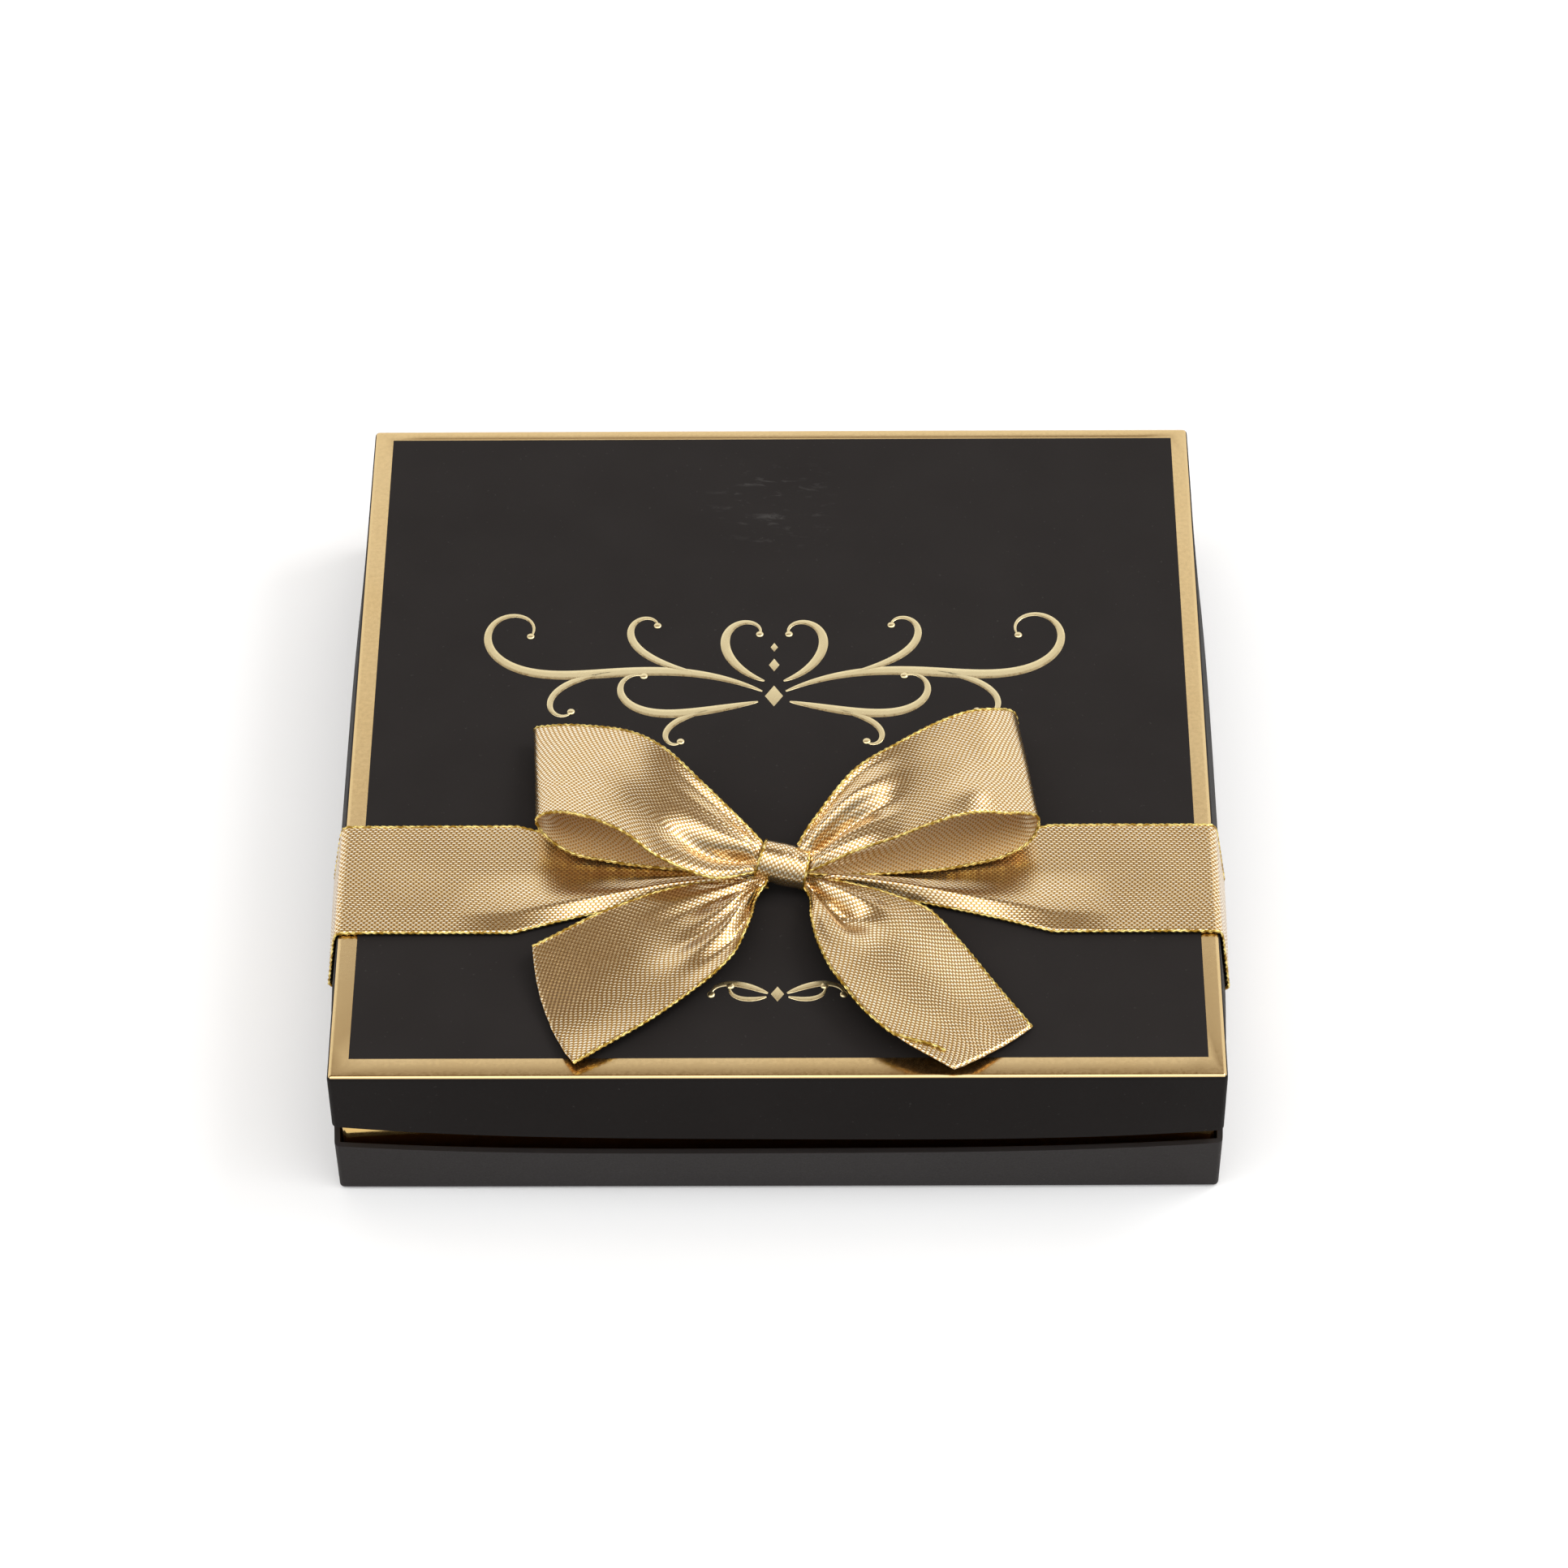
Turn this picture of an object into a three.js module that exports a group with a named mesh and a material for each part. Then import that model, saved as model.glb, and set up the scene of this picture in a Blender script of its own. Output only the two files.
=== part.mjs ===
// Gift box of chocolate truffles: a shallow base with a gold neck, a divided tray of truffles in paper cups
// under a cushion pad, and a lift-off lid that carries a metallic ribbon tied in a bow.
// Millimetres and degrees, +Z up, origin in the middle of the base's underside, front towards -Y.

import * as THREE from "three";

// Box
const BOX_SIDE = 160; // outside of base and lid at their folded edges
const BOARD = 1; // folded board of base and lid
const BASE_WALL = 14.5; // height of the base's wall
const RIM_GAP = 3.5; // strip of neck left showing between the two rims
const BASE_BULGE = 2; // how far a base wall stands out at the middle of its free rim
const LID_BULGE = 2.4; // the same for a lid wall
const NECK_BOARD = 0.8;
const SEAT = 0.3; // air or glue line where one piece lies on another
const SLIDE_FIT = 0.4; // clearance on each side between pieces that slide past each other

// Contents
const ROWS = 5; // of truffles, each way
const TRUFFLE_DIAMETER = 25;
const TRUFFLE_HEIGHT = 23.5; // from its cup's foot to its top
const CUP_HEIGHT = 11; // a paper cup's mouth is at the truffle's belly
const CUP_FOOT = 19; // diameter of a paper cup's foot
const TRAY_BOARD = 0.8;
const TRAY_WALL = 12; // height of the tray, its floor included
const DIVIDER_BOARD = 0.6;
const SLOT_FIT = 0.3; // clearance on each side of a divider in the slot of another
const PAD_THICKNESS = 5.5;
const PAD_ROUNDING = 2; // how far the pad's edges draw in above and below its middle

// Ribbon and bow
const RIBBON_WIDTH = 25;
const RIBBON_THICKNESS = 0.5;
const RIBBON_FROM_FRONT = 45.2; // from the lid's front edge back to the band's middle line
const GATHER_REACH = 49; // distance from the knot at which the band is flat again
const GATHERED_SHARE = 0.22; // share of the width left where the band enters the knot
const GATHER_RISE = 0.8; // how far the band climbs where it enters the knot
const GATHER_POWER = 1.5;
const KNOT_WIDTH = 8.6;
const KNOT_DEPTH = 9;
const KNOT_HEIGHT = 8.7;
const KNOT_OFFSET = 1; // the knot sits a little to the right of the middle
const KNOT_WAIST = 0.8; // radius of the knot's ends as a share of its middle
const KNOT_GAP = 0.6; // from the knot's ends to the ribbon that goes into them
const LOOP_REACH = 41; // from the knot to a loop's end
const LOOP_SWEEP = 21; // how far a loop's end swings to the back
const LOOP_RISE = 12;
const TAIL_REACH = 37; // from the knot to a tail's cut end, sideways
const TAIL_FALL = 40; // the same, towards the front

// Facets
const WALL_STEPS = 10; // along each wall
const ROUND_SIDES = 12; // of truffles and knot
const TRUFFLE_BELTS = 4; // from a truffle's belly to its top
const RIBBON_STEPS = 2; // between two stations of a loop or tail
const RIBBON_STRIPS = 4; // across the ribbon
const BAND_STEPS = 9; // from the knot to the lid's edge

// Worked out from the sizes above
const HALF_SIDE = BOX_SIDE / 2;
const RIBBON_LINE = RIBBON_FROM_FRONT - HALF_SIDE;
const TRAY_FLOOR = BOARD + SEAT;
const TRUFFLE_FLOOR = TRAY_FLOOR + TRAY_BOARD + SEAT;
const PAD_FLOOR = TRUFFLE_FLOOR + TRUFFLE_HEIGHT + SEAT;
const CEILING = PAD_FLOOR + PAD_THICKNESS + SEAT;
const LID_TOP = CEILING + BOARD;
const LID_WALL = LID_TOP - BASE_WALL - RIM_GAP;
const NECK_OUTSIDE = BOX_SIDE - 2 * (BOARD + SLIDE_FIT);
const NECK_INSIDE = NECK_OUTSIDE - 2 * NECK_BOARD;
const TRAY_SIDE = NECK_INSIDE - 2 * SLIDE_FIT;
const TRAY_INSIDE = TRAY_SIDE - 2 * TRAY_BOARD;
const CELL_PITCH = TRAY_INSIDE / ROWS;
const DIVIDER_LENGTH = TRAY_INSIDE - 2 * SEAT;
const DIVIDER_HEIGHT = TRAY_WALL - TRAY_BOARD - SEAT;
const RIBBON_MIDDLE = SEAT + RIBBON_THICKNESS / 2; // above what the ribbon lies on
const BOW_FLOOR = RIBBON_MIDDLE + RIBBON_THICKNESS + SEAT; // of loops and tails, above the band
const UP = new THREE.Vector3(0, 0, 1);
const FORWARD = new THREE.Vector3(0, -1, 0);

// The stations of the bow's loops and tails, chosen by eye, one row each. The first three numbers are
// shares of the reach out from the knot, the sweep to the back or fall to the front, and the rise above
// the lid. Then come the line across the ribbon from its back edge to its front edge, as its turn in plan
// and its tilt, and the share of the ribbon's width that the gather leaves.
const LOOP_LEFT = [
  [0, 0.05, 0.44, -86, -22, 0.28],
  [0.2, 0.17, 0.64, -89, -15, 0.7],
  [0.43, 0.46, 0.82, -92, -6, 0.95],
  [0.58, 0.67, 0.85, -90, 2, 1],
  [0.77, 0.85, 0.74, -87, 8, 1],
  [0.93, 0.96, 0.56, -86, 10, 1],
  [1, 1, 0.36, -87, 8, 1],
  [0.97, 0.95, 0.17, -87, 6, 1],
  [0.83, 0.8, 0.06, -89, 2, 0.98],
  [0.6, 0.67, 0.02, -92, 1, 0.9],
  [0.19, 0.27, 0.06, -96, -2, 0.4],
  [0, 0.1, 0.15, -90, -6, 0.2],
];
const LOOP_RIGHT = [
  [0, 0.09, 0.48, -89, -24, 0.34],
  [0.2, 0.37, 0.78, -90, -14, 0.66],
  [0.38, 0.52, 0.92, -91, -6, 0.82],
  [0.54, 0.67, 1, -91, 0, 0.94],
  [0.7, 0.81, 0.98, -89, 2, 1],
  [0.84, 0.9, 0.84, -87, 0, 1],
  [0.97, 1, 0.52, -82, 0, 1],
  [0.96, 0.9, 0.2, -84, 2, 1],
  [0.84, 0.76, 0.06, -84, 2, 0.98],
  [0.59, 0.6, 0.02, -84, 1, 0.9],
  [0.16, 0.22, 0.06, -90, -1, 0.4],
  [0, 0.08, 0.15, -90, -3, 0.2],
];
const TAIL_LEFT = [
  [0, -0.09, 0.12, -87, 6, 0.2],
  [0.08, -0.18, 0.2, -67, 10, 0.42],
  [0.2, -0.29, 0.21, -67, 4, 0.74],
  [0.38, -0.4, 0.17, -65, -1, 0.9],
  [0.64, -0.56, 0.12, -66, -6, 1],
  [0.98, -0.76, 0.1, -72, -8, 1.05],
];
const TAIL_RIGHT = [
  [0, -0.09, 0.12, -93, 6, 0.2],
  [0.09, -0.19, 0.23, -127, 5, 0.42],
  [0.2, -0.3, 0.27, -136, 3, 0.68],
  [0.35, -0.44, 0.25, -138, 5, 0.94],
  [0.5, -0.63, 0.19, -135, 9, 1],
  [0.67, -0.82, 0.15, -138, 10, 0.9],
  [0.88, -1, 0.11, -142, 10, 0.72],
];

// Materials
const blackPaper = new THREE.MeshStandardMaterial({ color: 0x2b2828, roughness: 0.75 });
const goldPaper = new THREE.MeshStandardMaterial({ color: 0xc79a4b, roughness: 0.3, metalness: 0.9 });
const trayBoard = new THREE.MeshStandardMaterial({ color: 0x33241b, roughness: 0.7 });
const chocolate = new THREE.MeshStandardMaterial({ color: 0x3f2414, roughness: 0.6 });
const padPaper = new THREE.MeshStandardMaterial({ color: 0x6b4a30, roughness: 0.85 });
const ribbonLame = new THREE.MeshStandardMaterial({ color: 0xcdaf7d, roughness: 0.4, metalness: 0.7 });

function piece(name, geometry, material) {
  const mesh = new THREE.Mesh(geometry, material);
  mesh.name = name;
  return mesh;
}

function meshFrom(points, faces) {
  const geometry = new THREE.BufferGeometry();
  geometry.setAttribute("position", new THREE.Float32BufferAttribute(points.flatMap((p) => p.toArray()), 3));
  geometry.setIndex(faces);
  return geometry;
}

// Six times the volume that the faces enclose; it is negative where they point inwards.
function enclosed(points, faces) {
  let sum = 0;
  for (let i = 0; i < faces.length; i += 3) {
    const [a, b, c] = faces.slice(i, i + 3).map((k) => points[k]);
    sum += a.dot(b.clone().cross(c));
  }
  return sum;
}

// A closed body through rings of points that match one another, with a fan over its first and last ring.
function loft(rings) {
  const count = rings[0].length;
  const points = rings.flat();
  const faces = [];
  for (let r = 0; r + 1 < rings.length; r++) {
    for (let i = 0; i < count; i++) {
      const a = r * count + i;
      const b = r * count + ((i + 1) % count);
      faces.push(a, b, b + count, a, b + count, a + count);
    }
  }
  for (const [ring, start, flipped] of [[rings[0], 0, true], [rings.at(-1), points.length - count, false]]) {
    const middle = ring.reduce((sum, p) => sum.add(p), new THREE.Vector3()).divideScalar(count);
    const hub = points.push(middle) - 1;
    for (let i = 0; i < count; i++) {
      const a = start + i;
      const b = start + ((i + 1) % count);
      faces.push(hub, flipped ? b : a, flipped ? a : b);
    }
  }
  if (enclosed(points, faces) < 0) {
    faces.reverse();
  }
  return meshFrom(points, faces);
}

// How far a wall stands out, at a place along it from -1 to 1.
function bulgeAt(along, bulge) {
  return bulge * (1 - along * along);
}

// A square ring at one height, seen anticlockwise from above, whose sides stand out by the bulge.
function squareRing(side, height, bulge) {
  const points = [];
  for (let quarter = 0; quarter < 4; quarter++) {
    for (let step = 0; step < WALL_STEPS; step++) {
      const along = (2 * step) / WALL_STEPS - 1;
      const point = new THREE.Vector3(side / 2 + bulgeAt(along, bulge), (along * side) / 2, height);
      points.push(point.applyAxisAngle(UP, (quarter * Math.PI) / 2));
    }
  }
  return points;
}

// A shallow shell of board from its folded face at height 0 to its free rim.
function foldedShell(side, board, rim, bulge) {
  const inside = side - 2 * board;
  return loft([
    squareRing(side, 0, 0),
    squareRing(side, rim, bulge),
    squareRing(inside, rim, bulge),
    squareRing(inside, Math.sign(rim) * board, 0),
  ]);
}

function squareShape(side) {
  const corners = [[-1, -1], [1, -1], [1, 1], [-1, 1]];
  return corners.map(([x, y]) => new THREE.Vector2((x * side) / 2, (y * side) / 2));
}

function neckFrame() {
  const outline = new THREE.Shape(squareShape(NECK_OUTSIDE));
  outline.holes.push(new THREE.Path(squareShape(NECK_INSIDE)));
  return new THREE.ExtrudeGeometry(outline, { depth: CEILING - BOARD - 2 * SEAT, bevelEnabled: false });
}

// The lines of the dividers across the tray, the same each way.
const dividerLines = Array.from({ length: ROWS - 1 }, (_, k) => (k + 1 - ROWS / 2) * CELL_PITCH);

// An upright strip along X with a slot at each crossing, half as deep as the strip is high, open at its top
// or at its foot.
function dividerStrip(openAtTop) {
  const end = DIVIDER_LENGTH / 2;
  const half = DIVIDER_BOARD / 2 + SLOT_FIT;
  const slotEnd = (DIVIDER_HEIGHT - SEAT) / 2;
  const outline = [[end, DIVIDER_HEIGHT], [end, 0], [-end, 0], [-end, DIVIDER_HEIGHT]];
  for (const line of dividerLines) {
    outline.push([line - half, DIVIDER_HEIGHT]);
    outline.push([line - half, slotEnd]);
    outline.push([line + half, slotEnd]);
    outline.push([line + half, DIVIDER_HEIGHT]);
  }
  const points = outline.map(([x, z]) => new THREE.Vector2(x, openAtTop ? z : DIVIDER_HEIGHT - z));
  const strip = new THREE.Shape(points);
  const upright = new THREE.ExtrudeGeometry(strip, { depth: DIVIDER_BOARD, bevelEnabled: false });
  return upright.translate(0, 0, -DIVIDER_BOARD / 2).rotateX(Math.PI / 2);
}

// A round body turned about +Z from a profile of [radius, height] that starts and ends on the axis.
function turned(profile) {
  const points = profile.map(([radius, height]) => new THREE.Vector2(radius, height));
  return new THREE.LatheGeometry(points, ROUND_SIDES).rotateX(Math.PI / 2);
}

// A truffle in its paper cup, as one body: the cup's taper with the ball's dome above its mouth.
function truffle() {
  const ball = TRUFFLE_DIAMETER / 2;
  const dome = TRUFFLE_HEIGHT - CUP_HEIGHT;
  const profile = [
    [0, 0],
    [CUP_FOOT / 2, 0],
  ];
  for (let k = 0; k < TRUFFLE_BELTS; k++) {
    const angle = ((Math.PI / 2) * k) / TRUFFLE_BELTS;
    profile.push([ball * Math.cos(angle), CUP_HEIGHT + dome * Math.sin(angle)]);
  }
  profile.push([0, TRUFFLE_HEIGHT]);
  return turned(profile);
}

function cushionPad() {
  const side = NECK_INSIDE - 2 * SLIDE_FIT;
  const drawn = side - 2 * PAD_ROUNDING;
  return loft([
    squareRing(drawn, 0, 0),
    squareRing(side, PAD_THICKNESS / 2, 0),
    squareRing(drawn, PAD_THICKNESS, 0),
  ]);
}

// A ribbon of even thickness around a grid of points in its middle, along it and then across it.
function ribbonSlab(grid) {
  const rings = grid.map((row, i) => {
    const before = grid[Math.max(i - 1, 0)];
    const after = grid[Math.min(i + 1, grid.length - 1)];
    const lifts = row.map((point, j) => {
      const ahead = after[j].clone().sub(before[j]);
      const over = row[Math.min(j + 1, RIBBON_STRIPS)].clone().sub(row[Math.max(j - 1, 0)]);
      return ahead.cross(over).setLength(RIBBON_THICKNESS / 2);
    });
    const upper = row.map((point, j) => point.clone().add(lifts[j]));
    const lower = row.map((point, j) => point.clone().sub(lifts[j]));
    return [...upper, ...lower.reverse()];
  });
  return loft(rings);
}

// Points across the ribbon, from one edge at share -1 to the other at share 1.
function acrossRibbon(pointAt) {
  return Array.from({ length: RIBBON_STRIPS + 1 }, (_, j) => pointAt((2 * j) / RIBBON_STRIPS - 1));
}

// A loop or tail through its stations, to the left or right of the knot, relative to the knot's seat.
function bowPiece(stations, side, reach, sweep) {
  const places = stations.map(([out, back, up]) => {
    const from = KNOT_WIDTH / 2 + KNOT_GAP;
    return new THREE.Vector3(side * (from + out * reach), back * sweep, BOW_FLOOR + up * LOOP_RISE);
  });
  const halves = stations.map(([, , , turn, tilt, share]) => {
    const half = new THREE.Vector3((share * RIBBON_WIDTH) / 2, 0, 0);
    half.applyAxisAngle(FORWARD, THREE.MathUtils.degToRad(tilt));
    return half.applyAxisAngle(UP, THREE.MathUtils.degToRad(turn));
  });
  const path = new THREE.CatmullRomCurve3(places);
  const spread = new THREE.CatmullRomCurve3(halves);
  const steps = (stations.length - 1) * RIBBON_STEPS;
  const grid = Array.from({ length: steps + 1 }, (_, i) => {
    const middle = path.getPoint(i / steps);
    const half = spread.getPoint(i / steps);
    return acrossRibbon((share) => middle.clone().addScaledVector(half, share));
  });
  return ribbonSlab(grid);
}

// One half of the band, relative to the middle of the lid's top: gathered at the knot, flat across the lid,
// down the lid's wall and turned under its rim.
function bandHalf(side) {
  const knotEnd = KNOT_WIDTH / 2 + KNOT_GAP;
  const run = HALF_SIDE + RIBBON_MIDDLE - side * KNOT_OFFSET;
  const lineAt = (share, width) => RIBBON_LINE - share * width * (RIBBON_WIDTH / 2);
  const grid = [];
  for (let step = 0; step <= BAND_STEPS; step++) {
    const out = THREE.MathUtils.lerp(knotEnd, run, step / BAND_STEPS);
    const eased = Math.min((out - knotEnd) / (GATHER_REACH - knotEnd), 1);
    const width = THREE.MathUtils.lerp(GATHERED_SHARE, 1, Math.pow(eased, GATHER_POWER));
    const climb = GATHER_RISE * (1 - eased) * (1 - eased);
    const place = side * out + KNOT_OFFSET;
    const height = RIBBON_MIDDLE + climb;
    grid.push(acrossRibbon((share) => new THREE.Vector3(place, lineAt(share, width), height)));
  }
  const wallPoint = (share, depth, inset) => {
    const line = lineAt(share, 1);
    const bulge = bulgeAt(line / HALF_SIDE, LID_BULGE) * Math.min(depth / LID_WALL, 1);
    return new THREE.Vector3(side * (HALF_SIDE + bulge + RIBBON_MIDDLE - inset), line, -depth);
  };
  const turnUnder = LID_WALL + RIBBON_MIDDLE;
  for (const depth of [LID_WALL / 3, (2 * LID_WALL) / 3, turnUnder]) {
    grid.push(acrossRibbon((share) => wallPoint(share, depth, 0)));
  }
  grid.push(acrossRibbon((share) => wallPoint(share, turnUnder, RIBBON_MIDDLE + BOARD)));
  return ribbonSlab(grid);
}

// A barrel with its axis across the box.
function bowKnot() {
  const end = KNOT_WIDTH / 2;
  const barrel = turned([
    [0, -end],
    [KNOT_WAIST, -end],
    [1, -end / 2],
    [1, end / 2],
    [KNOT_WAIST, end],
    [0, end],
  ]);
  return barrel.rotateY(Math.PI / 2).scale(1, KNOT_DEPTH / 2, KNOT_HEIGHT / 2);
}

const giftBox = new THREE.Group();
giftBox.add(piece("base_shell", foldedShell(BOX_SIDE, BOARD, BASE_WALL, BASE_BULGE), blackPaper));

const neck = piece("neck_frame", neckFrame(), goldPaper);
neck.position.z = BOARD + SEAT;
giftBox.add(neck);

const tray = new THREE.Group();
tray.position.z = TRAY_FLOOR;
tray.add(piece("insert_tray", foldedShell(TRAY_SIDE, TRAY_BOARD, TRAY_WALL, 0), trayBoard));
dividerLines.forEach((line, k) => {
  const across = piece(`divider_across_${k + 1}`, dividerStrip(true), trayBoard);
  across.position.set(0, line, TRAY_BOARD + SEAT);
  const along = piece(`divider_along_${k + 1}`, dividerStrip(false), trayBoard);
  along.position.set(line, 0, TRAY_BOARD + SEAT);
  along.rotation.z = Math.PI / 2;
  tray.add(across, along);
});
giftBox.add(tray);

const cellPlace = (k) => (k - (ROWS - 1) / 2) * CELL_PITCH;
for (let row = 0; row < ROWS; row++) {
  for (let column = 0; column < ROWS; column++) {
    const sweet = piece(`truffle_${row + 1}_${column + 1}`, truffle(), chocolate);
    sweet.position.set(cellPlace(column), cellPlace(row), TRUFFLE_FLOOR);
    sweet.rotation.z = Math.PI / ROUND_SIDES;
    giftBox.add(sweet);
  }
}

const pad = piece("cushion_pad", cushionPad(), padPaper);
pad.position.z = PAD_FLOOR;
giftBox.add(pad);

const lid = new THREE.Group();
lid.position.z = LID_TOP;
lid.add(piece("lid_shell", foldedShell(BOX_SIDE, BOARD, -LID_WALL, LID_BULGE), blackPaper));
lid.add(piece("ribbon_band_left", bandHalf(-1), ribbonLame));
lid.add(piece("ribbon_band_right", bandHalf(1), ribbonLame));
giftBox.add(lid);

const bow = new THREE.Group();
bow.position.set(KNOT_OFFSET, RIBBON_LINE, 0);
const knot = piece("bow_knot", bowKnot(), ribbonLame);
knot.position.z = SEAT + KNOT_HEIGHT / 2;
bow.add(knot);
bow.add(piece("bow_loop_left", bowPiece(LOOP_LEFT, -1, LOOP_REACH, LOOP_SWEEP), ribbonLame));
bow.add(piece("bow_loop_right", bowPiece(LOOP_RIGHT, 1, LOOP_REACH, LOOP_SWEEP), ribbonLame));
bow.add(piece("bow_tail_left", bowPiece(TAIL_LEFT, -1, TAIL_REACH, TAIL_FALL), ribbonLame));
bow.add(piece("bow_tail_right", bowPiece(TAIL_RIGHT, 1, TAIL_REACH, TAIL_FALL), ribbonLame));
lid.add(bow);

export default giftBox;
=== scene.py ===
"""Square black gift box of truffles: gold border and scrolls on the lid, a metallic ribbon bow, and inside
it a divided tray of truffles in fluted paper cups under a quilted pad.

Metres, +Z up, front towards -Y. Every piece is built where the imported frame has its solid.
"""

import bisect
import math

import bmesh
import bpy
from mathutils import Matrix, Vector, noise

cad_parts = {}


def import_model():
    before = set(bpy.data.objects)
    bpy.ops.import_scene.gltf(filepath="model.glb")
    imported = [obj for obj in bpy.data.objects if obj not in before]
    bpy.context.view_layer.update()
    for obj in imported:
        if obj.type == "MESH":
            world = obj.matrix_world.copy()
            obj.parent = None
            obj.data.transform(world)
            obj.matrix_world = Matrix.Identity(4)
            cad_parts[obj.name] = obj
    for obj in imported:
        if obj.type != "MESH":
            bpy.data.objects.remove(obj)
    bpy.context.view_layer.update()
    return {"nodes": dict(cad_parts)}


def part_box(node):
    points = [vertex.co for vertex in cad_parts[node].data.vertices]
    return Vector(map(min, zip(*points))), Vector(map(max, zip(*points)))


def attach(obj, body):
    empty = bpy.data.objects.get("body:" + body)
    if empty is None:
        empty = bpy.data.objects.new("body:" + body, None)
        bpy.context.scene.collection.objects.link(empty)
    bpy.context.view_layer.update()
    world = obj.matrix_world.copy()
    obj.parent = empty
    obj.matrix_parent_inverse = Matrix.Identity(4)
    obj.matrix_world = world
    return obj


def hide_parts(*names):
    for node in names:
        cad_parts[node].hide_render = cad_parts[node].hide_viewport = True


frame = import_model()

MM = 0.001
TINY = 0.01 * MM
WELD = 0.002 * MM

# Box and tray, as the solids have them
BOX_SIDE = 160 * MM
HALF_SIDE = BOX_SIDE / 2
BOARD = 1 * MM
INNER_BOARD = 0.8 * MM
BASE_BULGE = 2 * MM
LID_BULGE = 2.4 * MM
BASE_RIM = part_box("base_shell")[1].z
LID_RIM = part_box("lid_shell")[0].z
LID_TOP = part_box("lid_shell")[1].z
LID_WALL = LID_TOP - LID_RIM
NECK_LOW, NECK_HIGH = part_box("neck_frame")
TRAY_LOW, TRAY_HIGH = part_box("insert_tray")
ROWS = 5

# The walls' curve, which is flatter than the solids', the round folds, and how far the cut edges are eased
BULGE_POWER = 3.2
FOLD_RADIUS = 0.9 * MM
FOLD_SEGMENTS = 4
EDGE_ANGLE = math.radians(50)
PAPER_EDGE = 0.25 * MM
NECK_EDGE = 0.15 * MM
TRAY_EDGE = 0.2 * MM

# The lid's foil border: the inside of its four strips, the step down to the paper, and the share of the fold
# that the foil covers
BORDER_LEFT = -76.6 * MM
BORDER_RIGHT = 77.0 * MM
BORDER_FRONT = -75.7 * MM
BORDER_BACK = 77.7 * MM
BORDER_INSET = 2 * MM
PANEL_STEP = 0.3 * MM
PANEL_DEPTH = 0.14 * MM
FOIL_SHARE = 0.3

# A patch of faint scuffs near the back of the lid
SCUFF_MIDDLE = Vector((-1.5 * MM, 60 * MM, LID_TOP))
SCUFF_INNER = 3 * MM
SCUFF_OUTER = 14 * MM
SCUFF_STRENGTH = 0.27
SCUFF_TURN = math.radians(28)
SCUFF_STRETCH = 3.2

# How the rims run a little out of level, from left to right
LID_RIM_LEFT = 0.85 * MM
LID_RIM_RIGHT = -0.7 * MM
BASE_RIM_LEFT = -1.5 * MM
BASE_RIM_RIGHT = -1.0 * MM

# Ribbon: its cloth, its line across the lid, the height of the cloth's middle over what it lies on, and
# how finely it is divided
RIBBON_WIDTH = 25 * MM
RIBBON_CLOTH = 0.28 * MM
RIBBON_LINE = -34.8 * MM
RIBBON_MIDDLE = 0.55 * MM
RIBBON_STEP = 0.7 * MM
RIBBON_STRIPS = 48
RUN_PARTS = 600

# Weave, with how fast its floats fall off along and across the ribbon, and the selvages' two-ply thread
WEAVE_PITCH = 1.0 * MM
WEAVE_ROW = 0.48 * MM
FLOAT_FALL_ALONG = 3.2
FLOAT_FALL_ACROSS = 2.1
SELVAGE_RADIUS = 0.27 * MM
SELVAGE_PITCH = 1.3 * MM
SELVAGE_PLY = 0.32
SELVAGE_SIDES = 8
SELVAGE_TURN_STEPS = 6

# How the band narrows and rises towards the knot, and the fold that stands up along its front edge there
GATHER_REACH = 49 * MM
GATHERED_SHARE = 0.22
GATHER_RISE = 0.8 * MM
GATHER_POWER = 1.5
BAND_RIDGE = 3 * MM
BAND_RIDGE_REACH = 60 * MM
BAND_RIDGE_POWER = 0.9
BAND_RIDGE_START = 0.12
BAND_FOLD = 0.32
BAND_FOLD_BACK = 0.15

# The band's steps around the lid's fold and around its rim
QUARTER_TURN = [math.pi / 2 * step / 6 for step in range(1, 7)]

# Knot: its size and seat, how far the bow is tucked into it, its lean and tip, and the turn that it makes
KNOT_WIDTH = 8.6 * MM
KNOT_DEPTH = 9 * MM
KNOT_HEIGHT = 8.7 * MM
KNOT_OFFSET = 1 * MM
KNOT_GAP = 0.6 * MM
KNOT_SEAT = 0.3 * MM
KNOT_TUCK = 1.6 * MM
KNOT_SNUG = 0.82
KNOT_FLAT = 0.86
KNOT_WAIST = 0.07
KNOT_FLARE = 0.05
KNOT_LEAN = math.radians(15)
KNOT_LEAN_AXIS = Vector((0, 1, -1.2))
KNOT_TIP = math.radians(24)
KNOT_FROM = -98
KNOT_TO = 258
KNOT_STEPS = 72
KNOT_STRIPS = 32
KNOT_CREASE = 0.05 * MM
KNOT_FINE_CREASE = 0.02 * MM

# Loops and tails: how far they reach, then for their ends inside the knot the share of the sweep that is
# left, of the way to the knot's middle height, and of the width
BOW_FLOOR = 1.35 * MM
LOOP_REACH = 41 * MM
LOOP_SWEEP = 21 * MM
LOOP_RISE = 12 * MM
TAIL_REACH = 37 * MM
TAIL_FALL = 40 * MM
TUCK_BACK = 0.35
TUCK_RISE = 0.4
TUCK_WIDTH = 0.5

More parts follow.
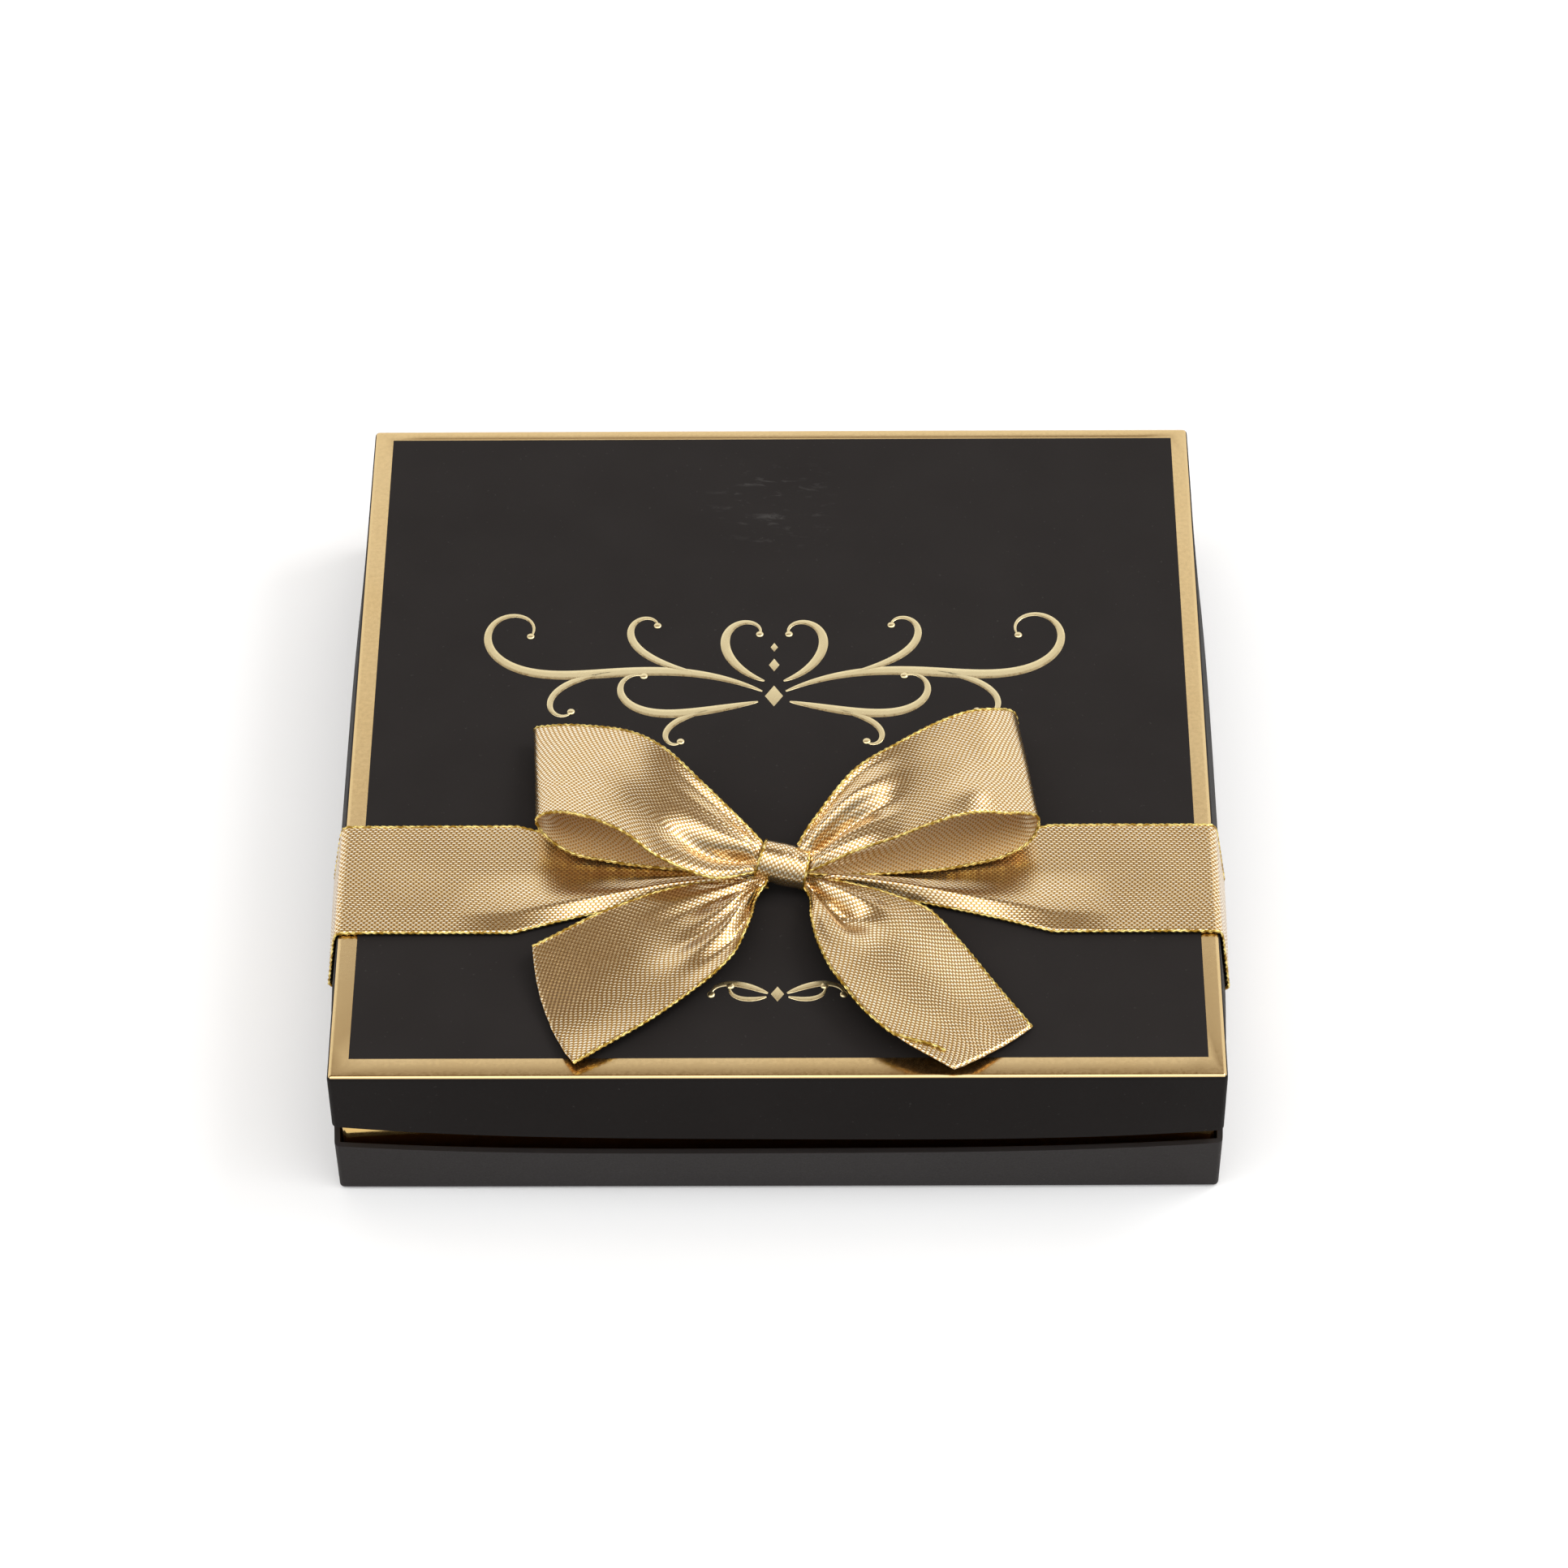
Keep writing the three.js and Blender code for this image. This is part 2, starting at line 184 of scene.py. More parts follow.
# The stations of loops and tails, as the solids have them but for the tails' lower ends: shares of the
# reach, of the sweep or fall and of the rise, then the turn and tilt of the line across the ribbon and the
# share of its width that is left
LOOP_LEFT = [
    (0, 0.05, 0.44, -86, -22, 0.28),
    (0.2, 0.17, 0.64, -89, -15, 0.7),
    (0.43, 0.46, 0.82, -92, -6, 0.95),
    (0.58, 0.67, 0.85, -90, 2, 1),
    (0.77, 0.85, 0.74, -87, 8, 1),
    (0.93, 0.96, 0.56, -86, 10, 1),
    (1, 1, 0.36, -87, 8, 1),
    (0.97, 0.95, 0.17, -87, 6, 1),
    (0.83, 0.8, 0.06, -89, 2, 0.98),
    (0.6, 0.67, 0.02, -92, 1, 0.9),
    (0.19, 0.27, 0.06, -96, -2, 0.4),
    (0, 0.1, 0.15, -90, -6, 0.2),
]
LOOP_RIGHT = [
    (0, 0.09, 0.48, -89, -24, 0.34),
    (0.2, 0.37, 0.78, -90, -14, 0.66),
    (0.38, 0.52, 0.92, -91, -6, 0.82),
    (0.54, 0.67, 1, -91, 0, 0.94),
    (0.7, 0.81, 0.98, -89, 2, 1),
    (0.84, 0.9, 0.84, -87, 0, 1),
    (0.97, 1, 0.52, -82, 0, 1),
    (0.96, 0.9, 0.2, -84, 2, 1),
    (0.84, 0.76, 0.06, -84, 2, 0.98),
    (0.59, 0.6, 0.02, -84, 1, 0.9),
    (0.16, 0.22, 0.06, -90, -1, 0.4),
    (0, 0.08, 0.15, -90, -3, 0.2),
]
TAIL_LEFT = [
    (0, -0.09, 0.12, -87, 6, 0.2),
    (0.08, -0.18, 0.2, -67, 10, 0.42),
    (0.2, -0.29, 0.21, -67, 4, 0.74),
    (0.38, -0.4, 0.17, -65, -1, 0.9),
    (0.64, -0.56, 0.12, -66, -6, 1),
    (0.98, -0.76, 0.02, -72, -8, 1.05),
]
TAIL_RIGHT = [
    (0, -0.09, 0.12, -93, 6, 0.2),
    (0.09, -0.19, 0.23, -127, 5, 0.42),
    (0.2, -0.3, 0.27, -136, 3, 0.68),
    (0.35, -0.44, 0.25, -138, 5, 0.94),
    (0.5, -0.63, 0.19, -135, 7, 1),
    (0.67, -0.82, 0.15, -138, 7, 0.9),
    (0.88, -1, 0.03, -142, 7, 0.72),
]

# The gathers at the knot: how far they reach, then the folds: place off the middle line from the back edge
# at -1 to the front edge at 1, half-width, and height in millimetres
PLEATS_LOOP_LEFT = (25 * MM, [
    (-0.75, 0.12, -0.5), (-0.45, 0.1, 0.4), (-0.1, 0.3, 1.1),
    (0.43, 0.18, -2.6), (0.68, 0.07, 0.5), (0.85, 0.14, 0.7),
])
PLEATS_LOOP_RIGHT = (23 * MM, [
    (-0.8, 0.12, -0.5), (-0.35, 0.28, 1.2), (-0.05, 0.07, -0.5),
    (0.22, 0.18, -2.4), (0.5, 0.07, 0.5), (0.74, 0.2, 0.8),
])
PLEATS_TAIL_LEFT = (29 * MM, [
    (-0.7, 0.14, 0.5), (-0.42, 0.12, -0.6), (-0.1, 0.16, 0.6),
    (0.14, 0.12, -0.8), (0.4, 0.2, 1.5), (0.74, 0.18, -1.3),
])
PLEATS_TAIL_RIGHT = (19 * MM, [
    (-0.72, 0.1, -0.5), (-0.5, 0.2, 1.2), (-0.12, 0.08, -0.5),
    (0.1, 0.2, -1.5), (0.45, 0.12, 0.6), (0.7, 0.18, 0.6),
])
PLEATS_BAND = (30 * MM, [
    (-0.6, 0.2, 0.25), (-0.1, 0.15, -0.3), (0.2, 0.12, 0.3),
    (0.62, 0.1, 0.35), (0.82, 0.08, 0.25),
])

# How the gathers set in beside the knot, fade towards their reach and deepen where the ribbon narrows, and
# what is left of them on a loop's lower half
PLEAT_START = 4 * MM
PLEAT_FIRST = 0.25
PLEAT_FADE = 1.6
PLEAT_POWER = 0.6
LOWER_PLEATS = 0.2

# Soft hollows and swells: how far from the knot and off the middle line, the half-sizes, and the height
SWELLS_LOOP_LEFT = [(30 * MM, -0.2, 6 * MM, 0.5, 0.5 * MM)]
SWELLS_LOOP_RIGHT = [(36 * MM, 0.6, 5 * MM, 0.3, 0.8 * MM), (14 * MM, -0.3, 5 * MM, 0.3, 0.7 * MM)]
SWELLS_TAIL_LEFT = [(20 * MM, -0.1, 9 * MM, 0.5, -0.8 * MM)]
SWELLS_TAIL_RIGHT = [(11.5 * MM, 0.0, 5 * MM, 0.28, -2.1 * MM), (26 * MM, -0.2, 9 * MM, 0.5, 0.5 * MM)]

# Slight wrinkles: height, how many to the metre, and where they set in
BOW_WRINKLE = 0.16 * MM
BOW_WRINKLE_SCALE = 110
BOW_WRINKLE_START = 8 * MM
BAND_WRINKLE = 0.09 * MM
BAND_WRINKLE_SCALE = 90
BAND_WRINKLE_ROWS = 12

# How high the left tail's front edge curls up towards its end, from how far from the knot, and how far over
# the middle line
CURL = 1.5 * MM
CURL_FROM = 16 * MM
CURL_OVER = 0.2

# Where the right tail's front thread leaves its edge and where it ends, in shares of the length, and how far
# in and how high over the cloth's middle it lies, and how soon it climbs there
LOOSE_FROM = 0.74
LOOSE_END = 0.92
LOOSE_INWARD = 0.13
LOOSE_LIFT = 0.35 * MM
LOOSE_CLIMB = 8

# How far the cut ends of the tails stand out at the middle of the cut, how far back that is felt, and how
# ragged the cut is
CUT_LEFT = 1.7 * MM
CUT_RIGHT = 0.5 * MM
CUT_REACH = 7 * MM
CUT_RAGGED = 0.12 * MM
CUT_RAGS = 7

# The scrolls on the lid's right half, in millimetres from the middle of the ornament: start, heading,
# length, bend in degrees per millimetre at the start and at the curled end, and width at the widest
SCROLL_MIDDLE = Vector((-1 * MM, 12 * MM))
SCROLLS = [
    (2.2, -0.6, 30, 74, -1.5, 19, 2.3),
    (3.0, -3.2, -14, 36, 0.2, 24, 2.1),
    (1.8, 2.0, 22, 25, 4.2, 30, 1.8),
    (15.5, 4.4, 14, 25, 2.2, 34, 1.6),
    (31.0, 4.3, -10, 21, -2.2, -38, 1.4),
    (12.5, -5.4, -16, 15, -2.5, -52, 1.3),
]
SPRIG_MIDDLE = Vector((0, -61 * MM))
SPRIG = [
    (1.7, 0.2, 28, 12, -2, -34, 1.3),
    (2.0, -0.6, -20, 8.5, 6, 46, 1.0),
]

# The lozenges between them, in millimetres: how far back of the middle, half-width and half-depth
SCROLL_LOZENGES = [(-1.8, 1.7, 2.6), (6, 1.0, 1.6), (10.5, 0.7, 1.1)]
SPRIG_LOZENGES = [(0, 1.2, 1.7)]
ORNAMENTS = [(SCROLL_MIDDLE, SCROLLS, SCROLL_LOZENGES), (SPRIG_MIDDLE, SPRIG, SPRIG_LOZENGES)]

# Strokes and lozenges: how they are divided, how late they curl, their least width in millimetres, how early
# and how fully they widen, their knobs, and their relief
STROKE_STEPS = 96
STROKE_STRIPS = 6
STROKE_CURL = 3
STROKE_LEAST = 0.3
STROKE_EARLY = 0.8
STROKE_FULL = 0.9
STROKE_FLATNESS = 8
KNOB_RADIUS = 0.75 * MM
KNOB_FLATNESS = 0.35
RELIEF = 0.06 * MM
LOZENGE_RELIEF = 1.6 * RELIEF

# Truffles and how each is turned, the lines drawn over some of them, and their fluted cups
TRUFFLE_RADIUS = 12.4 * MM
TRUFFLE_FOOT = 0.5 * MM
TURN_BY_ROW = 0.9
TURN_BY_COLUMN = 2.3
DRIZZLE_BALL = TRUFFLE_RADIUS - 0.3 * MM
DRIZZLE_LIFT = 0.1 * MM
DRIZZLE_RADIUS = 0.42 * MM
DRIZZLE_HALF_LENGTH = 0.72
DRIZZLE_HALF_WIDTH = 0.62
DRIZZLE_LINES = 4.5
DRIZZLE_STEPS = 160
DRIZZLE_SIDES = 6
DRIZZLE_TAPER_STEPS = 6
DRIZZLE_TIP = 0.35
CUP_FOOT = 9.6 * MM
CUP_MOUTH = 13.6 * MM
CUP_HEIGHT = 11.4 * MM
CUP_LIFT = 0.15 * MM
CUP_PAPER = 0.12 * MM
CUP_FLUTES = 36
CUP_FLUTE = 0.55 * MM
CUP_FLUTE_LOW = 0.25
CUP_FLARE = 0.85
CUP_COLUMNS = 144
CUP_ROWS = 5

# Pad: quilted squares to its side, how thin it is along the seams, and the width of its thin edge
PAD_QUILTS = 10
PAD_CELLS = 120
PAD_SEAM = 0.3
PAD_PUFF = 0.66
PAD_EDGE = 5 * MM
PAD_EDGE_SHARE = 0.12

# The light around the object, from the back's horizon over the zenith to the front's: share of the half
# turn, strength, and how much green and blue it has
WHITE = (1, 1)
WARM = (0.6, 0.22)
SURROUND = [
    (0.0, 1.06, WHITE),
    (0.283, 1.1, WHITE),
    (0.298, 0.18, WARM),
    (0.43, 0.18, WARM),
    (0.485, 1.4, WHITE),
    (0.535, 2.6, WHITE),
    (0.6, 2.5, WHITE),
    (0.65, 1.25, WHITE),
    (0.76, 0.95, WHITE),
    (0.87, 0.36, WHITE),
    (1.0, 0.2, WHITE),
]
SURROUND_MOST = 3

# Soft box, in metres and watts, and floor
KEY_PLACE = Vector((0.75, 0.25, 1.0))
KEY_AIM = Vector((0, 0, 0.02))
KEY_SIZE = 0.42
KEY_POWER = 3.8
FLOOR_HALF = 3
FLOOR_DROP = 0.2 * MM
FLOOR_GLOW = 0.17

# Camera, fitted to the corners of the box in the photograph
PHOTO_PIXELS = 1932
FOCAL_PIXELS = 6395.5
CAMERA_PITCH = math.radians(49.736)
CAMERA_YAW = math.radians(-0.857)
CAMERA_ROLL = math.radians(0.826)
CAMERA_EYE = Vector((10.3, -634.8, 768.8)) * MM
CAMERA_NEAR = 0.05
CAMERA_FAR = 20
SENSOR = 36


def srgb(red, green, blue):
    """A colour written as it shows on screen, from 0 to 255, as linear light."""
    def linear(value):
        share = value / 255
        return share / 12.92 if share <= 0.04045 else ((share + 0.055) / 1.055) ** 2.4
    return (linear(red), linear(green), linear(blue), 1)


# Node helpers
def node(tree, kind, inputs=None, **settings):
    """A node with its settings, whose inputs are values or the outputs of other nodes."""
    made = tree.nodes.new(kind)
    for name, value in settings.items():
        setattr(made, name, value)
    for name, value in (inputs or {}).items():
        if isinstance(value, bpy.types.NodeSocket):
            tree.links.new(value, made.inputs[name])
        else:
            made.inputs[name].default_value = value
    return made


def calc(tree, operation, first, second=0.0, third=0.0):
    return node(tree, "ShaderNodeMath", {0: first, 1: second, 2: third}, operation=operation).outputs[0]


def mixed(tree, share, first, second):
    return node(tree, "ShaderNodeMix", {0: share, 6: first, 7: second}, data_type="RGBA").outputs[2]


def spread(tree, value, low, high, to_low=0.0, to_high=1.0):
    inputs = {0: value, 1: low, 2: high, 3: to_low, 4: to_high}
    return node(tree, "ShaderNodeMapRange", inputs, clamp=True).outputs[0]


def object_coordinates(tree, turn=(0, 0, 0), scale=(1, 1, 1), shift=(0, 0, 0)):
    start = node(tree, "ShaderNodeTexCoord").outputs["Object"]
    mapping = {"Vector": start, "Rotation": turn, "Scale": scale, "Location": shift}
    return node(tree, "ShaderNodeMapping", mapping).outputs[0]


def noise_at(tree, coordinates, scale, detail=2.0, roughness=0.5, distortion=0.0):
    shape = {"Scale": scale, "Detail": detail, "Roughness": roughness, "Distortion": distortion}
    return node(tree, "ShaderNodeTexNoise", {"Vector": coordinates, **shape}).outputs["Fac"]


def bumped(tree, height, distance, strength):
    values = {"Height": height, "Distance": distance, "Strength": strength}
    return node(tree, "ShaderNodeBump", values).outputs[0]


def new_material(name, **sockets):
    """A material of one Principled shader with the sockets that are the same all over it."""
    made = bpy.data.materials.new(name)
    made.use_nodes = True
    shader = made.node_tree.nodes["Principled BSDF"]
    for socket, value in sockets.items():
        shader.inputs[socket.replace("_", " ")].default_value = value
    return made, made.node_tree, shader


def feed(tree, shader, **sockets):
    for socket, value in sockets.items():
        tree.links.new(value, shader.inputs[socket.replace("_", " ")])


def new_group(name, inputs, outputs):
    """An empty shader group with its inputs by name and kind, and float outputs."""
    group = bpy.data.node_groups.new(name, "ShaderNodeTree")
    for socket, kind in inputs.items():
        group.interface.new_socket(name=socket, in_out="INPUT", socket_type="NodeSocket" + kind)
    for socket in outputs:
        group.interface.new_socket(name=socket, in_out="OUTPUT", socket_type="NodeSocketFloat")
    return group, group.nodes.new("NodeGroupInput").outputs, group.nodes.new("NodeGroupOutput").inputs


def weave_group():
    """Staggered floats of a metal cloth: where a float lies, its height, the pits between, which mark where
    shade is painted, and its glint.
    """
    group, given, result = new_group(
        "lame_weave",
        {"Along": "Float", "Across": "Float", "Pitch": "Float", "Row": "Float"},
        ["Float", "Height", "Pit", "Glint"],
    )
    rows = calc(group, "DIVIDE", given["Across"], given["Row"])
    row = calc(group, "FLOOR", rows)
    off_row = calc(group, "SUBTRACT", calc(group, "SUBTRACT", rows, row), 0.5)
    steps = calc(group, "MULTIPLY_ADD", row, 0.5, calc(group, "DIVIDE", given["Along"], given["Pitch"]))
    off_step = calc(group, "SUBTRACT", calc(group, "FRACT", steps), 0.5)
    long_part = calc(group, "POWER", calc(group, "MULTIPLY", off_step, FLOAT_FALL_ALONG), 2.0)
    wide_part = calc(group, "POWER", calc(group, "MULTIPLY", off_row, FLOAT_FALL_ACROSS), 2.0)
    left = calc(group, "SUBTRACT", 1.0, calc(group, "ADD", long_part, wide_part))
    inside = calc(group, "MAXIMUM", left, 0.0)
    cell = node(group, "ShaderNodeCombineXYZ", {"X": calc(group, "FLOOR", steps), "Y": row}).outputs[0]
    glint = node(group, "ShaderNodeTexWhiteNoise", {"Vector": cell}, noise_dimensions="2D").outputs["Value"]
    group.links.new(spread(group, inside, 0.0, 0.5), result["Float"])
    group.links.new(inside, result["Height"])
    # Pit: the hollows between floats, which the cloth paints darker as shade
    group.links.new(spread(group, left, -1.5, -0.5, 1.0, 0.0), result["Pit"])
    group.links.new(glint, result["Glint"])
    return group


def tooth_group():
    """Fine tooth of paper: a height and a slow change of tone, forty times as broad."""
    group, given, result = new_group(
        "paper_tooth", {"Coordinates": "Vector", "Fineness": "Float"}, ["Height", "Tone"]
    )
    fine = noise_at(group, given["Coordinates"], given["Fineness"], detail=4.0, roughness=0.65)
    slow_scale = calc(group, "DIVIDE", given["Fineness"], 40.0)
    slow = noise_at(group, given["Coordinates"], slow_scale, detail=3.0)
    group.links.new(fine, result["Height"])
    group.links.new(slow, result["Tone"])
    return group


WEAVE = weave_group()
TOOTH = tooth_group()


def tooth(tree, coordinates, fineness):
    given = {"Coordinates": coordinates, "Fineness": fineness}
    made = node(tree, "ShaderNodeGroup", given, node_tree=TOOTH)
    return made.outputs["Height"], made.outputs["Tone"]


# Finishes
def scuffs(tree):
    """A mask of fine strokes that fade out from the middle of their patch."""
    turned = object_coordinates(tree, turn=(0, 0, SCUFF_TURN), scale=(1, SCUFF_STRETCH, 1))
    strokes = noise_at(tree, turned, scale=190.0, detail=5.0, roughness=0.62, distortion=0.6)
    centred = object_coordinates(tree, shift=-SCUFF_MIDDLE)
    away = node(tree, "ShaderNodeVectorMath", {0: centred}, operation="LENGTH").outputs["Value"]
    patch = spread(tree, away, SCUFF_INNER, SCUFF_OUTER, SCUFF_STRENGTH, 0.0)
    return calc(tree, "MULTIPLY", spread(tree, strokes, 0.57, 0.7), patch)


def black_paper(name, light, deep, shine, scuffed=False):
    """Soft-touch laminated paper with a fine tooth and pale flecks, and scuffs where it is scuffed."""
    made, tree, shader = new_material(name, Specular_IOR_Level=shine)
    coordinates = object_coordinates(tree)
    height, tone = tooth(tree, coordinates, fineness=2600.0)
    flecks = noise_at(tree, coordinates, scale=1500.0, detail=1.0)
    fleck_mask = spread(tree, flecks, 0.74, 0.8, 0.0, 0.5)
    colour = mixed(tree, fleck_mask, mixed(tree, tone, light, deep), srgb(62, 59, 57))
    roughness = spread(tree, height, 0.3, 0.7, 0.5, 0.64)
    if scuffed:
        scuff = scuffs(tree)
        colour = mixed(tree, scuff, colour, srgb(112, 110, 108))
        roughness = calc(tree, "ADD", roughness, calc(tree, "MULTIPLY", scuff, 0.2))
    normal = bumped(tree, height, distance=0.02 * MM, strength=0.35)
    feed(tree, shader, Base_Color=colour, Roughness=roughness, Normal=normal)
    return made


def gold_foil(name, light, deep, smooth, rough, relief=0.012 * MM):
    """Hot foil on paper: bright metal in slow waves, with the paper's tooth showing through."""
    made, tree, shader = new_material(name, Metallic=1.0)
    coordinates = object_coordinates(tree)
    height, tone = tooth(tree, coordinates, fineness=1300.0)
    waves = noise_at(tree, coordinates, scale=90.0)
    colour = mixed(tree, tone, light, deep)
    roughness = spread(tree, height, 0.35, 0.65, smooth, rough)
    surface = calc(tree, "MULTIPLY_ADD", waves, 4.0, height)
    normal = bumped(tree, surface, distance=relief, strength=0.2)
    feed(tree, shader, Base_Color=colour, Roughness=roughness, Normal=normal)
    return made


def board(name, light, deep):
    """Uncoated board with fibres."""
    made, tree, shader = new_material(name, Specular_IOR_Level=0.3)
    height, tone = tooth(tree, object_coordinates(tree), fineness=1800.0)
    fibres = noise_at(tree, object_coordinates(tree, scale=(1, 6, 6)), scale=420.0, detail=3.0)
    colour = mixed(tree, calc(tree, "MULTIPLY", tone, fibres), light, deep)
    roughness = spread(tree, height, 0.3, 0.7, 0.62, 0.8)
    normal = bumped(tree, height, distance=0.03 * MM, strength=0.4)
    feed(tree, shader, Base_Color=colour, Roughness=roughness, Normal=normal)
    return made


def ribbon_lame(name, lights, ground_and_pit_shade, metals, ground_roughness):
    """Champagne metal cloth: floats of flat gold thread over a browner ground, with painted shade in the
    pits between the floats, along the ribbon's own UV.
    """
    made, tree, shader = new_material(name, Specular_IOR_Level=0.5)
    uv = node(tree, "ShaderNodeUVMap", uv_map="UVMap").outputs[0]
    along, over, _ = node(tree, "ShaderNodeSeparateXYZ", {0: uv}).outputs
    given = {"Along": along, "Across": over, "Pitch": WEAVE_PITCH, "Row": WEAVE_ROW}
    weave = node(tree, "ShaderNodeGroup", given, node_tree=WEAVE).outputs
    lit = mixed(tree, weave["Glint"], *lights)
    # Painted shade: the ground turns darker and browner in the pits between the floats
    ground = mixed(tree, weave["Pit"], *ground_and_pit_shade)
    colour = mixed(tree, weave["Float"], ground, lit)
    metal = spread(tree, weave["Float"], 0.0, 1.0, *metals)
    smooth = spread(tree, weave["Glint"], 0.0, 1.0, 0.22, 0.12)
    roughness = spread(tree, weave["Float"], 0.0, 1.0, ground_roughness, smooth)
    normal = bumped(tree, weave["Height"], distance=0.045 * MM, strength=0.45)
    feed(tree, shader, Base_Color=colour, Metallic=metal, Roughness=roughness, Normal=normal)
    return made


def selvage_thread(name):
    """The yellower metal thread wound along the ribbon's edges."""
    made, tree, shader = new_material(name, Metallic=0.95)
    glints = noise_at(tree, object_coordinates(tree), scale=900.0, detail=1.0)
    glitter = spread(tree, glints, 0.4, 0.6)
    colour = mixed(tree, glitter, srgb(160, 124, 44), srgb(242, 218, 134))
    feed(tree, shader, Base_Color=colour, Roughness=spread(tree, glitter, 0.0, 1.0, 0.4, 0.16))
    return made


def chocolate(name, light, deep, rough, dusted=0.0):
    """Chocolate with a bloom of tone, and cocoa dust where it is dusted."""
    made, tree, shader = new_material(name, Specular_IOR_Level=0.45)
    coordinates = object_coordinates(tree)
    slow = noise_at(tree, coordinates, scale=180.0, detail=3.0)
    fine = noise_at(tree, coordinates, scale=2200.0, detail=4.0, roughness=0.7)
    dust = calc(tree, "MULTIPLY", spread(tree, fine, 0.42, 0.6), dusted)
    colour = mixed(tree, dust, mixed(tree, slow, light, deep), srgb(150, 104, 72))
    roughness = spread(tree, calc(tree, "ADD", fine, dust), 0.3, 1.2, rough, 0.95)
    normal = bumped(tree, fine, distance=0.12 * MM, strength=0.2 + 0.5 * dusted)
    feed(tree, shader, Base_Color=colour, Roughness=roughness, Normal=normal)
    return made


def pad_paper(name):
    """Brown paper with a close crimp."""
    made, tree, shader = new_material(name, Specular_IOR_Level=0.35)
    coordinates = object_coordinates(tree)
    height, tone = tooth(tree, coordinates, fineness=1500.0)
    colour = mixed(tree, tone, srgb(112, 78, 50), srgb(138, 99, 65))
    crimp = node(tree, "ShaderNodeTexVoronoi", {"Vector": coordinates, "Scale": 900.0}).outputs["Distance"]
    roughness = spread(tree, height, 0.3, 0.7, 0.45, 0.7)
    normal = bumped(tree, calc(tree, "ADD", height, crimp), distance=0.12 * MM, strength=0.5)
    feed(tree, shader, Base_Color=colour, Roughness=roughness, Normal=normal)
    return made


def floor_paper(name):
    """A pale sweep that is white where it is fully lit and keeps the object's shadow."""
    made, tree, shader = new_material(name, Roughness=0.9, Specular_IOR_Level=0.1)
    tone = noise_at(tree, object_coordinates(tree), scale=14.0)
    feed(tree, shader, Base_Color=mixed(tree, tone, srgb(233, 233, 233), srgb(236, 236, 236)))
    path = node(tree, "ShaderNodeLightPath").outputs
    seen = calc(tree, "MAXIMUM", path["Is Camera Ray"], path["Is Glossy Ray"])
    seen = calc(tree, "MAXIMUM", seen, path["Is Transmission Ray"])
    strength = calc(tree, "MULTIPLY", seen, FLOOR_GLOW)
    glow = node(tree, "ShaderNodeEmission", {"Strength": strength}).outputs[0]
    both = node(tree, "ShaderNodeAddShader", {0: shader.outputs[0], 1: glow}).outputs[0]
    tree.links.new(both, tree.nodes["Material Output"].inputs["Surface"])
    return made


# Painted shade: the lid's walls use a darker copy of the lid's own paper, standing in for the walls catching
# less light than the top
SHADED_WALL_PAPER = black_paper("wall_paper_painted_shade", srgb(34, 31, 30), srgb(29, 26, 25), 0.05)
LID_PAPER = black_paper("lid_paper", srgb(43, 40, 39), srgb(37, 34, 33), 0.05, scuffed=True)
BASE_PAPER = black_paper("base_paper", srgb(43, 39, 38), srgb(37, 33, 32), 0.17)
FOIL = gold_foil("border_foil", srgb(226, 200, 152), srgb(216, 184, 128), 0.16, 0.24)
SCROLL_FOIL = gold_foil("scroll_foil", srgb(240, 226, 184), srgb(230, 210, 160), 0.26, 0.36)
NECK_FOIL = gold_foil("neck_foil", srgb(232, 200, 132), srgb(218, 178, 104), 0.09, 0.15)
CUP_FOIL = gold_foil("cup_foil", srgb(224, 190, 122), srgb(203, 160, 90), 0.26, 0.42, relief=0.03 * MM)
LINING = board("lining_board", srgb(70, 54, 44), srgb(50, 38, 31))
TRAY_FINISH = board("tray_board", srgb(64, 46, 35), srgb(44, 31, 24))
RIBBON = ribbon_lame(
    "ribbon_lame",
    lights=(srgb(254, 240, 206), srgb(255, 249, 230)),
    # the ground, then the painted shade in its pits
    ground_and_pit_shade=(srgb(214, 175, 112), srgb(146, 103, 48)),
    metals=(0.9, 1.0),
    ground_roughness=0.27,
)
# Painted light: a lighter, more diffuse copy of the same cloth for the loops' inner sides and the cut rims,
# standing in for light that comes through the thin cloth
RIBBON_INSIDE_PAINTED_LIGHT = ribbon_lame(
    "ribbon_inside_painted_light",
    lights=(srgb(254, 230, 178), srgb(255, 238, 200)),
    # the ground, then the painted shade in its pits
    ground_and_pit_shade=(srgb(208, 162, 92), srgb(150, 104, 48)),
    metals=(0.1, 0.4),
    ground_roughness=0.5,
)
THREAD = selvage_thread("selvage_thread")
PAD_FINISH = pad_paper("pad_paper")
COCOA = chocolate("cocoa_dust", srgb(92, 55, 34), srgb(66, 38, 23), 0.8, dusted=0.9)
MILK = chocolate("milk_chocolate", srgb(128, 77, 46), srgb(108, 62, 36), 0.3)
DARK = chocolate("dark_chocolate", srgb(66, 36, 23), srgb(49, 27, 18), 0.26)
IVORY = chocolate("ivory_chocolate", srgb(240, 222, 184), srgb(230, 206, 160), 0.35)
NUTS = chocolate("chopped_nuts", srgb(164, 112, 66), srgb(112, 68, 38), 0.6)


# Mesh helpers
def finished(name, bm, materials, body, nodes=(), sharp=35):
    """Makes a piece of a bmesh in its place, smooth but for sharp edges, and lets it ride on a body."""
    for face in bm.faces:
        face.smooth = True
    mesh = bpy.data.meshes.new(name)
    bm.to_mesh(mesh)
    bm.free()
    mesh.set_sharp_from_angle(angle=math.radians(sharp))
    for material in materials:
        mesh.materials.append(material)
    piece = bpy.data.objects.new(name, mesh)
    bpy.context.scene.collection.objects.link(piece)
    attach(piece, body)
    if nodes:
        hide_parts(*nodes)
    return piece


